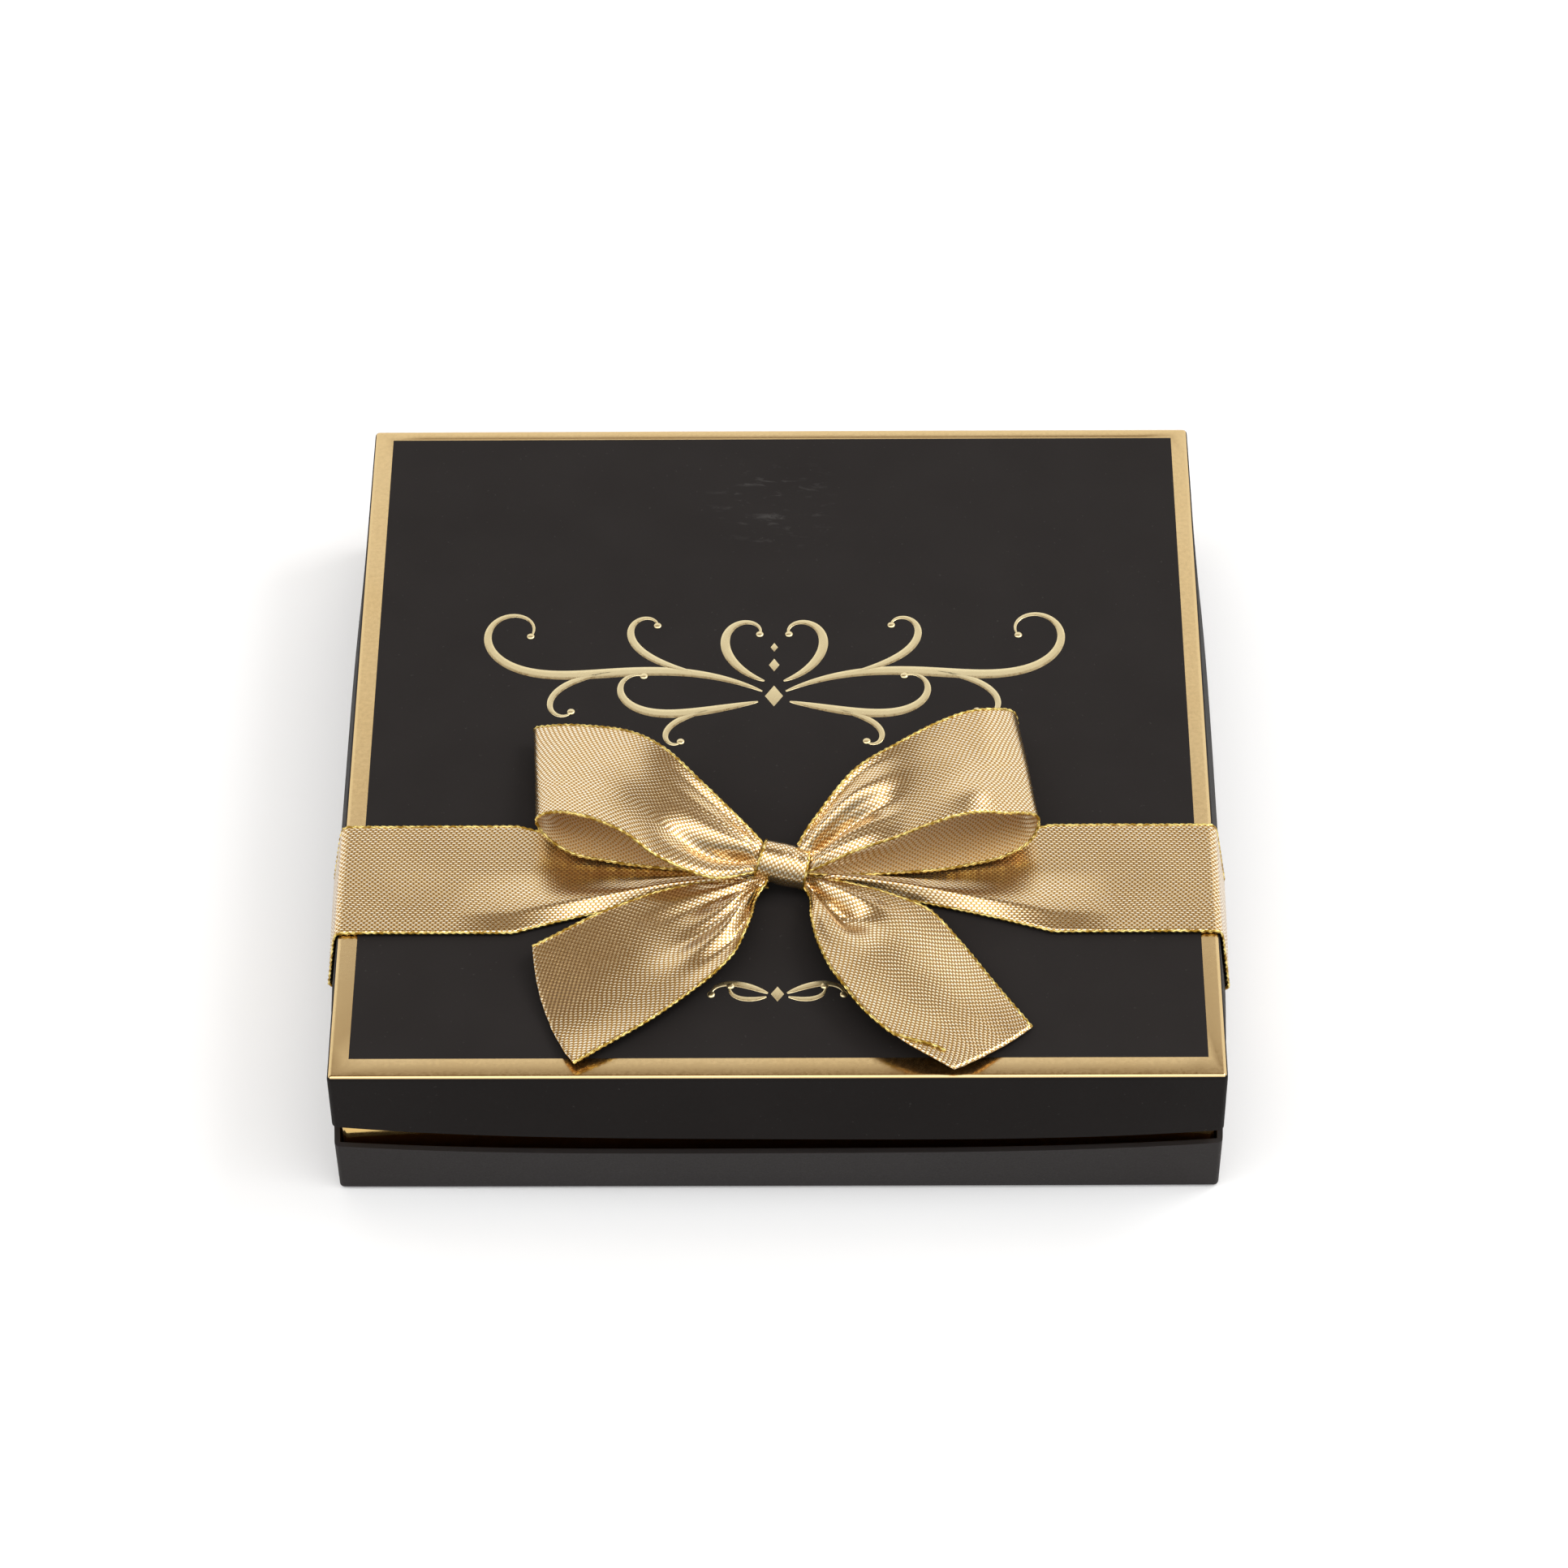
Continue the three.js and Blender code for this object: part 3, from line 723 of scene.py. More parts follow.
def thickened(piece, thickness, offset, inside=0, rim=0):
    """Gives a piece its board or cloth; the finishes of its inside and rim are that many after its own."""
    wall = piece.modifiers.new("thickness", "SOLIDIFY")
    wall.thickness = thickness
    wall.offset = offset
    wall.use_even_offset = True
    wall.material_offset = inside
    wall.material_offset_rim = rim


def eased_edges(piece, width):
    rounding = piece.modifiers.new("edges", "BEVEL")
    rounding.width = width
    rounding.segments = 2
    rounding.limit_method = "ANGLE"
    rounding.angle_limit = EDGE_ANGLE
    flat = piece.modifiers.new("flat_faces", "WEIGHTED_NORMAL")
    flat.keep_sharp = True


def mapped_grid(bm, columns, rows, place, uv=None):
    """Adds a grid whose vertices go to place(column, row), and whose UV is uv(column, row)."""
    made = bmesh.ops.create_grid(bm, x_segments=columns, y_segments=rows, size=0.5)["verts"]
    index = {v: (round((v.co.x + 0.5) * columns), round((v.co.y + 0.5) * rows)) for v in made}
    if uv:
        layer = bm.loops.layers.uv.new("UVMap")
        for face in {f for v in made for f in v.link_faces}:
            for loop in face.loops:
                loop[layer].uv = uv(*index[loop.vert])
    for vert, (column, row) in index.items():
        vert.co = place(column, row)
    return made


def tube_point(spots, column, turn, reach, beside):
    """A point around a line of spots, at a share of the turn; beside is a direction off the line."""
    along = (spots[min(column + 1, len(spots) - 1)] - spots[max(column - 1, 0)]).normalized()
    first = along.cross(beside).normalized()
    second = along.cross(first)
    angle = 2 * math.pi * turn
    return spots[column] + (first * math.cos(angle) + second * math.sin(angle)) * reach


def lerp(first, second, share):
    return first + (second - first) * share


def smooth_step(share):
    share = min(max(share, 0), 1)
    return share * share * (3 - 2 * share)


def across(strips=RIBBON_STRIPS):
    """The places across a strip, from -1 at one edge to 1 at the other."""
    return [2 * k / strips - 1 for k in range(strips + 1)]


def lengths(points):
    """How far along a line of points each of them is."""
    gone = [0.0]
    for first, second in zip(points, points[1:]):
        gone.append(gone[-1] + (second - first).length)
    return gone


def span_at(gone, goal):
    """The end of the span in which a line has gone as far as the goal, and the share of that span."""
    end = min(max(bisect.bisect_left(gone, goal), 1), len(gone) - 1)
    return end, (goal - gone[end - 1]) / max(gone[end] - gone[end - 1], 1e-12)


# Box
def bulge_at(along, bulge):
    return bulge * (1 - min(abs(along) / HALF_SIDE, 1) ** BULGE_POWER)


def square_shell(side, fold, rim):
    """An open box from its closed face, at height fold, to its rim, with round folds; returns the face."""
    bm = bmesh.new()
    bmesh.ops.create_cube(bm, size=1)
    bmesh.ops.scale(bm, vec=(side, side, abs(rim - fold)), verts=bm.verts)
    bmesh.ops.translate(bm, vec=(0, 0, (rim + fold) / 2), verts=bm.verts)
    mouth = [f for f in bm.faces if abs(f.calc_center_median().z - rim) < TINY]
    bmesh.ops.delete(bm, geom=mouth, context="FACES")
    folds = [e for e in bm.edges if any(abs(v.co.z - rim) > TINY for v in e.verts)]
    bmesh.ops.bevel(
        bm, geom=folds, offset=FOLD_RADIUS, segments=FOLD_SEGMENTS, profile=0.5, affect="EDGES", material=-1
    )
    return bm, max(bm.faces, key=lambda f: f.calc_area())


def cut_walls(bm, side, height, along=24, down=5):
    """Divides the long edges and the walls' upright ones, so that the walls can bend."""
    long_edges = [e for e in bm.edges if e.calc_length() > side / 2]
    bmesh.ops.subdivide_edges(bm, edges=long_edges, cuts=along - 1, use_grid_fill=True)
    upright = [e for e in bm.edges if abs(e.verts[0].co.z - e.verts[1].co.z) > 0.6 * height]
    bmesh.ops.subdivide_edges(bm, edges=upright, cuts=down - 1, use_grid_fill=True)


def bend_walls(bm, fold, rim, bulge, rim_left, rim_right):
    """Lets each wall stand out towards its rim, and the rim run out of level."""
    near_wall = HALF_SIDE - 0.3 * MM
    for vert in bm.verts:
        depth = (vert.co.z - fold) / (rim - fold)
        x, y = vert.co.x, vert.co.y
        if abs(x) > near_wall:
            vert.co.x += math.copysign(bulge_at(y, bulge) * depth, x)
        if abs(y) > near_wall:
            vert.co.y += math.copysign(bulge_at(x, bulge) * depth, y)
        vert.co.z += lerp(rim_left, rim_right, x / BOX_SIDE + 0.5) * depth


def lid():
    bm, top = square_shell(BOX_SIDE, LID_TOP, LID_RIM)
    foil_low = LID_TOP - FOIL_SHARE * FOLD_RADIUS
    gilt = [f for f in bm.faces if f.calc_center_median().z > foil_low and f != top]
    strips = bmesh.ops.inset_region(bm, faces=[top], thickness=BORDER_INSET, use_even_offset=True)["faces"]
    for vert in top.verts:
        vert.co.x = BORDER_RIGHT if vert.co.x > 0 else BORDER_LEFT
        vert.co.y = BORDER_BACK if vert.co.y > 0 else BORDER_FRONT
    steps = bmesh.ops.inset_region(
        bm, faces=[top], thickness=PANEL_STEP, depth=-PANEL_DEPTH, use_even_offset=True
    )["faces"]
    for face in gilt + strips + steps:
        face.material_index = 1
    top.material_index = 2
    cut_walls(bm, BOX_SIDE, LID_WALL)
    bend_walls(bm, LID_TOP, LID_RIM, LID_BULGE, LID_RIM_LEFT, LID_RIM_RIGHT)
    # The walls and the folds below the foil take the darker copy of the paper, which is painted shade; the
    # top keeps the lid's paper
    finishes = [SHADED_WALL_PAPER, FOIL, LID_PAPER, LINING, LINING, LINING]
    piece = finished("lid_paper_shell", bm, finishes, "lid", ["lid_shell"])
    thickened(piece, BOARD, -1, inside=3)
    eased_edges(piece, PAPER_EDGE)


def base():
    bm, _ = square_shell(BOX_SIDE, 0, BASE_RIM)
    cut_walls(bm, BOX_SIDE, BASE_RIM)
    bend_walls(bm, 0, BASE_RIM, BASE_BULGE, BASE_RIM_LEFT, BASE_RIM_RIGHT)
    piece = finished("base_paper_shell", bm, [BASE_PAPER, LINING], "base", ["base_shell"])
    thickened(piece, BOARD, -1, inside=1)
    eased_edges(piece, PAPER_EDGE)


def neck():
    """A gold board frame, open above and below."""
    bm, _ = square_shell(NECK_HIGH.x - NECK_LOW.x, NECK_LOW.z, NECK_HIGH.z)
    low = [f for f in bm.faces if f.calc_center_median().z < NECK_LOW.z + FOLD_RADIUS]
    bmesh.ops.delete(bm, geom=low, context="FACES")
    for vert in bm.verts:
        if vert.co.z < NECK_LOW.z + 2 * FOLD_RADIUS:
            vert.co.z = NECK_LOW.z
    piece = finished("neck_gold_frame", bm, [NECK_FOIL], "base", ["neck_frame"])
    thickened(piece, INNER_BOARD, -1)
    eased_edges(piece, NECK_EDGE)


def tray():
    side = TRAY_HIGH.x - TRAY_LOW.x
    bm, _ = square_shell(side, TRAY_LOW.z, TRAY_HIGH.z)
    cut_walls(bm, side, TRAY_HIGH.z - TRAY_LOW.z, along=8, down=2)
    piece = finished("tray_board_shell", bm, [TRAY_FINISH], "tray", ["insert_tray"])
    thickened(piece, INNER_BOARD, -1)
    eased_edges(piece, TRAY_EDGE)


def dividers():
    """The dividers keep their solids, with the tray's finish."""
    for name, solid in frame["nodes"].items():
        if name.startswith("divider"):
            solid.data.materials.clear()
            solid.data.materials.append(TRAY_FINISH)


# Scrolls on the lid
def stroke_points(stroke):
    """The middle line of a stroke that bends more towards its end, with its heading and its width."""
    x, y, heading, length, bend_first, bend_last, widest = stroke
    step = length / STROKE_STEPS
    for k in range(STROKE_STEPS + 1):
        share = k / STROKE_STEPS
        fullness = max(math.sin(math.pi * share ** STROKE_EARLY), 0) ** STROKE_FULL
        yield Vector((x, y)) * MM, math.radians(heading), lerp(STROKE_LEAST, widest, fullness) * MM
        heading += step * lerp(bend_first, bend_last, ((k + 0.5) / STROKE_STEPS) ** STROKE_CURL)
        x += step * math.cos(math.radians(heading))
        y += step * math.sin(math.radians(heading))


def add_stroke(bm, stroke, middle, side, ground):
    """A raised stroke with a knob at its curled end; side is -1 for the mirrored left half."""
    line = list(stroke_points(stroke))
    offs = across(STROKE_STRIPS)

    def place(column, row):
        point, heading, width = line[column]
        flat = point + Vector((-math.sin(heading), math.cos(heading))) * (offs[row] * width / 2)
        rise = RELIEF * (1 - offs[row] ** STROKE_FLATNESS)
        return Vector((middle.x + side * flat.x, middle.y + flat.y, ground + rise))

    mapped_grid(bm, STROKE_STEPS, STROKE_STRIPS, place)
    point = line[-1][0]
    end = Matrix.Translation((middle.x + side * point.x, middle.y + point.y, ground))
    flatten = Matrix.Diagonal((1, 1, KNOB_FLATNESS, 1))
    bmesh.ops.create_uvsphere(bm, u_segments=18, v_segments=10, radius=KNOB_RADIUS, matrix=end @ flatten)


def add_lozenge(bm, middle, half_width, half_depth, ground):
    """A raised lozenge with four facets."""
    made = bmesh.ops.create_circle(bm, cap_ends=True, cap_tris=True, segments=4, radius=1)["verts"]
    for vert in made:
        peak = vert.co.length < 0.5
        height = ground + (LOZENGE_RELIEF if peak else 0)
        vert.co = (middle.x + vert.co.x * half_width, middle.y + vert.co.y * half_depth, height)


def ornament():
    ground = LID_TOP - PANEL_DEPTH + TINY
    bm = bmesh.new()
    for middle, strokes, lozenges in ORNAMENTS:
        for stroke in strokes:
            for side in (-1, 1):
                add_stroke(bm, stroke, middle, side, ground)
        for back, half_width, half_depth in lozenges:
            add_lozenge(bm, middle + Vector((0, back * MM)), half_width * MM, half_depth * MM, ground)
    bmesh.ops.recalc_face_normals(bm, faces=bm.faces)
    finished("lid_gold_scrolls", bm, [SCROLL_FOIL], "lid", sharp=50)


# Ribbon
def on_curve(points, share):
    """A point of the centripetal Catmull-Rom curve through the points, at a share of its spans."""
    last = len(points) - 1
    span = min(int(share * last), last - 1)
    weight = share * last - span
    b, c = points[span], points[span + 1]
    a = points[span - 1] if span > 0 else b * 2 - c
    d = points[span + 2] if span + 2 <= last else c * 2 - b
    knots = [0.0]
    for first, second in ((a, b), (b, c), (c, d)):
        knots.append(knots[-1] + max((second - first).length, 1e-9) ** 0.5)
    t = lerp(knots[1], knots[2], weight)

    def between(first, second, low, high):
        return first * ((high - t) / (high - low)) + second * ((t - low) / (high - low))

    ab, bc, cd = (between(*pair, knots[k], knots[k + 1]) for k, pair in enumerate(((a, b), (b, c), (c, d))))
    abc = between(ab, bc, knots[0], knots[2])
    bcd = between(bc, cd, knots[1], knots[3])
    return between(abc, bcd, knots[1], knots[2])


def evenly(run):
    """The shares of a run at which its middle line has gone a whole number of even steps, and its length."""
    gone = lengths([run(k / RUN_PARTS)[0] for k in range(RUN_PARTS + 1)])
    count = max(round(gone[-1] / RIBBON_STEP), 2)
    shares = []
    for k in range(count + 1):
        end, part = span_at(gone, gone[-1] * k / count)
        shares.append((end - 1 + part) / RUN_PARTS)
    return shares, gone[-1]


def tucked(station, reach):
    """A station further in, where the ribbon is held inside the knot."""
    _, back, up, turn, tilt, share = station
    inward = -(KNOT_GAP + KNOT_TUCK) / reach
    height = (KNOT_SEAT + KNOT_HEIGHT / 2 - BOW_FLOOR) / LOOP_RISE
    return inward, TUCK_BACK * back, lerp(up, height, TUCK_RISE), turn, tilt, TUCK_WIDTH * share


def bow_run(stations, side, reach, sweep):
    """The middle and half-width of a loop or tail through its stations, tucked into the knot at its ends."""
    start = KNOT_WIDTH / 2 + KNOT_GAP
    rows = [tucked(stations[0], reach), *stations]
    if stations[-1][0] == 0:
        rows.append(tucked(stations[-1], reach))
    seat = Vector((KNOT_OFFSET, RIBBON_LINE, LID_TOP + BOW_FLOOR))
    places = [seat + Vector((side * (start + o * reach), b * sweep, u * LOOP_RISE)) for o, b, u, *_ in rows]
    halves = []
    for *_, turn, tilt, share in rows:
        lift = math.radians(tilt)
        flat = share * RIBBON_WIDTH / 2 * math.cos(lift)
        turned = math.radians(turn)
        rise = share * RIBBON_WIDTH / 2 * math.sin(lift)
        halves.append(Vector((flat * math.cos(turned), flat * math.sin(turned), rise)))
    return lambda share: (on_curve(places, share), on_curve(halves, share))


def pleat(pleats, share, distance, off):
    """How far the cloth stands out at a distance from the knot, where a share of its width is left."""
    reach, folds = pleats
    deep = max(1 - share * share, 0) ** PLEAT_POWER
    fade = smooth_step(PLEAT_FADE - PLEAT_FADE * distance / reach)
    fade *= smooth_step(distance / PLEAT_START + PLEAT_FIRST)
    heights = (height * MM * math.exp(-((off - line) / wide) ** 2) for line, wide, height in folds)
    return deep * fade * sum(heights)


def swell(spot, distance, off):
    away, line, half_length, half_width, height = spot
    return height * math.exp(-((distance - away) / half_length) ** 2 - ((off - line) / half_width) ** 2)


def with_relief(rows, relief):
    """The rows with every point moved along the surface's normal by relief(row, column)."""
    last = len(rows) - 1
    moved = []
    for i, row in enumerate(rows):
        before, after = rows[max(i - 1, 0)], rows[min(i + 1, last)]
        new_row = []
        for j, point in enumerate(row):
            along = after[j] - before[j]
            over = row[min(j + 1, len(row) - 1)] - row[max(j - 1, 0)]
            new_row.append(point + along.cross(over).normalized() * relief(i, j))
        moved.append(new_row)
    return moved


def shape_cut(rows, length, cut):
    """Lets a tail's cut end stand out at its middle, with a ragged edge."""
    count = len(rows) - 1
    offs = across()
    middle = len(offs) // 2
    onward = (rows[-1][middle] - rows[-2][middle]).normalized()
    for i, row in enumerate(rows):
        near_end = smooth_step(1 - length * (count - i) / count / CUT_REACH)
        for j, off in enumerate(offs):
            ragged = CUT_RAGGED * noise.noise(Vector((CUT_RAGS * off, TAIL_REACH, 0.5)))
            row[j] = row[j] + onward * near_end * (cut * (1 - off * off) + ragged)


def bow_rows(stations, side, reach, sweep, pleats, swells, cut=0, curl=0):
    """The grid of points of a loop or tail, gathered at the knot, and its length."""
    run = bow_run(stations, side, reach, sweep)
    shares, length = evenly(run)
    offs = across()
    rows, widths = [], []
    for share in shares:
        middle, half = run(share)
        widths.append(half.length * 2 / RIBBON_WIDTH)
        rows.append([middle + half * off for off in offs])
    if cut:
        shape_cut(rows, length, cut)
    both_ends = stations[-1][0] == 0
    hidden = KNOT_GAP + KNOT_TUCK

    def relief(i, j):
        gone = length * i / (len(rows) - 1)
        distance = max((min(gone, length - gone) if both_ends else gone) - hidden, 0)
        setting_in = smooth_step(distance / BOW_WRINKLE_START)
        stand = noise.noise(rows[i][j] * BOW_WRINKLE_SCALE) * BOW_WRINKLE * setting_in
        upper = 1 if gone < length / 2 or not both_ends else LOWER_PLEATS
        stand += pleat(pleats, widths[i], distance, offs[j]) * upper
        stand += sum(swell(spot, gone - hidden, offs[j]) for spot in swells)
        lift = max((gone - CURL_FROM) / (length - CURL_FROM), 0)
        stand += curl * lift * max(offs[j] + CURL_OVER, 0) ** 2
        return -side * stand

    return with_relief(rows, relief), length


def add_thread(bm, line):
    """A two-ply thread along a line of points."""
    gone = lengths(line)
    steps = max(round(gone[-1] / SELVAGE_PITCH * SELVAGE_TURN_STEPS), 4)
    spots = []
    for k in range(steps + 1):
        end, part = span_at(gone, gone[-1] * k / steps)
        spots.append(line[end - 1].lerp(line[end], part))

    def put(column, row):
        turn = row / SELVAGE_SIDES
        twist = math.pi * column / SELVAGE_TURN_STEPS
        reach = SELVAGE_RADIUS * (1 + SELVAGE_PLY * math.cos(2 * (2 * math.pi * turn - twist)))
        return tube_point(spots, column, turn, reach, beside=Vector((0.3, 0.2, 1)))

    mapped_grid(bm, steps, SELVAGE_SIDES, put)


def selvage(name, lines):
    bm = bmesh.new()
    for line in lines:
        add_thread(bm, line)
    bmesh.ops.remove_doubles(bm, verts=bm.verts, dist=WELD)
    bmesh.ops.holes_fill(bm, edges=[e for e in bm.edges if e.is_boundary], sides=0)
    bmesh.ops.recalc_face_normals(bm, faces=bm.faces)
    return finished(name, bm, [THREAD], "lid", sharp=80)


def loose_thread(rows):
    """The front edge's thread, which has come loose before the cut and lies on the cloth."""
    last, strips = len(rows) - 1, len(rows[0]) - 1
    line = []
    for i, row in enumerate(rows[:round(LOOSE_END * last) + 1]):
        inward = smooth_step((i / last - LOOSE_FROM) / (LOOSE_END - LOOSE_FROM))
        place = strips * (1 - LOOSE_INWARD * inward)
        j = min(int(place), strips - 1)
        on_cloth = row[j].lerp(row[j + 1], place - j)
        line.append(on_cloth + Vector((0, 0, LOOSE_LIFT * min(LOOSE_CLIMB * inward, 1))))
    return line


def ribbon_piece(name, rows, nodes, outward=0, loose=False):
    """Cloth over the rows of points, and a thread along each edge; outward tells a loop's outer side, and a
    loop's inner side and every cut rim take the copy of the cloth painted lighter for light that comes
    through it.
    """
    columns, strips = len(rows) - 1, len(rows[0]) - 1
    along = [lengths([row[j] for row in rows]) for j in range(strips + 1)]
    over = [lengths(row) for row in rows]
    bm = bmesh.new()
    mapped_grid(
        bm, columns, strips,
        lambda i, j: rows[i][j],
        lambda i, j: (along[j][i], over[i][j] - over[i][strips // 2]),
    )
    if outward < 0:
        bmesh.ops.reverse_faces(bm, faces=bm.faces)
    # A loop's inner side and every rim get the copy of the cloth painted lighter for light that comes
    # through it
    cloth = finished(name, bm, [RIBBON, RIBBON_INSIDE_PAINTED_LIGHT], "lid", nodes, sharp=80)
    thickened(cloth, RIBBON_CLOTH, 0, inside=abs(outward), rim=1)
    front = loose_thread(rows) if loose else [row[-1] for row in rows]
    thread = selvage(name + "_selvage", [[row[0] for row in rows], front])
    return cloth, thread


def loop(name, node_name, stations, side, pleats, swells):
    rows, length = bow_rows(stations, side, LOOP_REACH, LOOP_SWEEP, pleats, swells)
    cloth, thread = ribbon_piece(name, rows, [node_name], outward=-side)


def tail(name, node_name, stations, side, pleats, swells, cut, curl=0, loose=False):
    rows, length = bow_rows(stations, side, TAIL_REACH, TAIL_FALL, pleats, swells, cut, curl)
    cloth, thread = ribbon_piece(name, rows, [node_name], loose=loose)


def line_at(off, width=1):
    """How far back a point off the band's middle line lies, where a share of the ribbon's width is left."""
    return RIBBON_LINE - off * width * RIBBON_WIDTH / 2


def band_on_lid(side):
    """The rows of half the band from the knot to the lid's fold, and how wide and far out each row is."""
    knot_end = KNOT_WIDTH / 2 - KNOT_TUCK
    edge = HALF_SIDE - FOLD_RADIUS - side * KNOT_OFFSET
    steps = round((edge - knot_end) / RIBBON_STEP)
    rows, gathers = [], []
    for step in range(steps + 1):
        out = lerp(knot_end, edge, step / steps)
        eased = min(max((out - KNOT_WIDTH / 2) / (GATHER_REACH - KNOT_WIDTH / 2), 0), 1)
        width = lerp(GATHERED_SHARE, 1, eased ** GATHER_POWER)
        climb = GATHER_RISE * (1 - eased) ** 2
        ridge = BAND_RIDGE * max(1 - out / BAND_RIDGE_REACH, 0) ** BAND_RIDGE_POWER
        ridge *= smooth_step(eased / BAND_RIDGE_START)
        row = []
        for off in across():
            slope = smooth_step((off + BAND_FOLD_BACK) / (1 + BAND_FOLD_BACK - BAND_FOLD))
            fold = min((1 - off) / BAND_FOLD, 1) * slope
            height = LID_TOP + RIBBON_MIDDLE + climb + ridge * fold
            row.append(Vector((side * out + KNOT_OFFSET, line_at(off, width), height)))
        rows.append(row)
        gathers.append((width, max(out - KNOT_WIDTH / 2, 0)))
    return rows, gathers


def band_on_wall(side):
    """The rows of half the band over the lid's fold, down its wall and under its rim."""
    around = FOLD_RADIUS + RIBBON_MIDDLE
    wall = LID_WALL - (LID_RIM_LEFT if side < 0 else LID_RIM_RIGHT)

    def wall_row(depth, inset):
        row = []
        for line in map(line_at, across()):
            bulge = bulge_at(line, LID_BULGE) * min(depth / wall, 1)
            row.append(Vector((side * (HALF_SIDE + bulge + RIBBON_MIDDLE - inset), line, LID_TOP - depth)))
        return row

    rows = []
    for angle in QUARTER_TURN:
        x = HALF_SIDE - FOLD_RADIUS + around * math.sin(angle)
        z = LID_TOP - FOLD_RADIUS + around * math.cos(angle)
        rows.append([Vector((side * x, line, z)) for line in map(line_at, across())])
    steps = round((wall - FOLD_RADIUS) / RIBBON_STEP)
    for step in range(1, steps + 1):
        rows.append(wall_row(lerp(FOLD_RADIUS, wall, step / steps), 0))
    for angle in QUARTER_TURN:
        depth = wall + RIBBON_MIDDLE * math.sin(angle)
        rows.append(wall_row(depth, RIBBON_MIDDLE * (1 - math.cos(angle))))
    rows.append(wall_row(wall + RIBBON_MIDDLE, RIBBON_MIDDLE + BOARD))
    return rows


def band_rows(side):
    """One half of the band: gathered at the knot, flat across the lid, down its wall and under its rim."""
    rows, gathers = band_on_lid(side)
    rows += band_on_wall(side)
    offs = across()
    flat_from = len(gathers) - 2

    def relief(i, j):
        if i >= flat_from:
            return 0
        settle = smooth_step((flat_from - i) / BAND_WRINKLE_ROWS)
        wrinkle = noise.noise(rows[i][j] * BAND_WRINKLE_SCALE) * BAND_WRINKLE * settle
        return -side * (pleat(PLEATS_BAND, *gathers[i], offs[j]) + wrinkle)

    return with_relief(rows, relief)


def band(name, node_name, side):
    rows = band_rows(side)
    middle = RIBBON_STRIPS // 2
    length = lengths([row[middle] for row in rows])[-1]
    cloth, thread = ribbon_piece(name, rows, [node_name])


def knot():
    """The turn of ribbon around the bow's middle, folded in three, leaning to the right and to the front."""
    middle = Vector((KNOT_OFFSET, RIBBON_LINE, LID_TOP + KNOT_SEAT + KNOT_HEIGHT / 2))
    lean = Matrix.Rotation(KNOT_LEAN, 3, KNOT_LEAN_AXIS.normalized()) @ Matrix.Rotation(KNOT_TIP, 3, "X")
    rows = []
    for step in range(KNOT_STEPS + 1):
        angle = math.radians(lerp(KNOT_FROM, KNOT_TO, step / KNOT_STEPS))
        row = []
        for off in across(KNOT_STRIPS):
            snug = KNOT_SNUG * (1 - KNOT_WAIST * off * off)
            crease = KNOT_CREASE * math.sin(math.pi * (1.6 * off + 0.3 + 0.4 * math.sin(angle)))
            crease += KNOT_FINE_CREASE * math.sin(math.pi * (4.2 * off + 0.9 - 0.5 * math.cos(angle)))
            row.append(middle + lean @ Vector((
                off * KNOT_WIDTH / 2 * (1 + KNOT_FLARE * math.cos(angle)),
                -(KNOT_DEPTH / 2 * snug + crease) * math.cos(angle),
                (KNOT_HEIGHT / 2 * KNOT_FLAT * snug + crease) * math.sin(angle),
            )))
        rows.append(row)
    length = lengths([row[KNOT_STRIPS // 2] for row in rows])[-1]
    cloth, thread = ribbon_piece("bow_knot_wrap", rows, ["bow_knot"])


# Contents
def truffle_ball(height, shape):
    """A ball on a flat foot whose surface stands out by shape(direction)."""
    bm = bmesh.new()
    bmesh.ops.create_uvsphere(bm, u_segments=56, v_segments=36, radius=1)
    for vert in bm.verts:
        direction = vert.co.normalized()
        point = direction * (TRUFFLE_RADIUS + shape(direction))
        vert.co = (point.x, point.y, max(point.z + height - TRUFFLE_RADIUS, TRUFFLE_FOOT))
    return bm


def cocoa_shape(direction):
    """Uneven lumps with a fine grain."""
    lumps = noise.fractal(direction * 2.2, 0.8, 2.0, 4) * 0.5 * MM
    grain = noise.noise(direction * 24) * 0.14 * MM
    return lumps + grain - 0.35 * MM


def smooth_shape(direction):
    """A dipped coat that is only slightly out of round."""
    return noise.noise(direction * 1.6) * 0.25 * MM - 0.3 * MM


def swirl_shape(direction):
    """Six ridges that wind up to the top."""
    turn = math.atan2(direction.y, direction.x)
    ridge = abs(math.sin(3 * turn + 5 * math.acos(max(min(direction.z, 1), -1))))
    return (ridge ** 0.7 * 0.9 - 1.0) * MM * min(1, 3 * math.hypot(direction.x, direction.y))


def nut_shape(direction):
    """Close-set chips that stand out from the ball."""
    near, _ = noise.voronoi(direction * 7)
    return (0.55 - 1.9 * near[0]) * 1.1 * MM - 0.2 * MM


def add_drizzle(bm, place, height):
    """Thin lines of chocolate drawn to and fro across the top."""
    middle = place + Vector((0, 0, height - DRIZZLE_BALL))
    spots = []
    for k in range(DRIZZLE_STEPS + 1):
        share = k / DRIZZLE_STEPS
        x = lerp(-DRIZZLE_HALF_LENGTH, DRIZZLE_HALF_LENGTH, share)
        y = DRIZZLE_HALF_WIDTH * math.sin(math.pi * 2 * DRIZZLE_LINES * share) * math.sqrt(1 - x * x)
        z = math.sqrt(max(1 - x * x - y * y, 0))
        spots.append(middle + Vector((x, y, z)) * (DRIZZLE_BALL + DRIZZLE_LIFT))

    def put(column, row):
        taper = min(column, DRIZZLE_STEPS - column, DRIZZLE_TAPER_STEPS) / DRIZZLE_TAPER_STEPS
        reach = DRIZZLE_RADIUS * lerp(DRIZZLE_TIP, 1, taper)
        return tube_point(spots, column, row / DRIZZLE_SIDES, reach, beside=Vector((0, 0, 1)))

    return mapped_grid(bm, DRIZZLE_STEPS, DRIZZLE_SIDES, put)


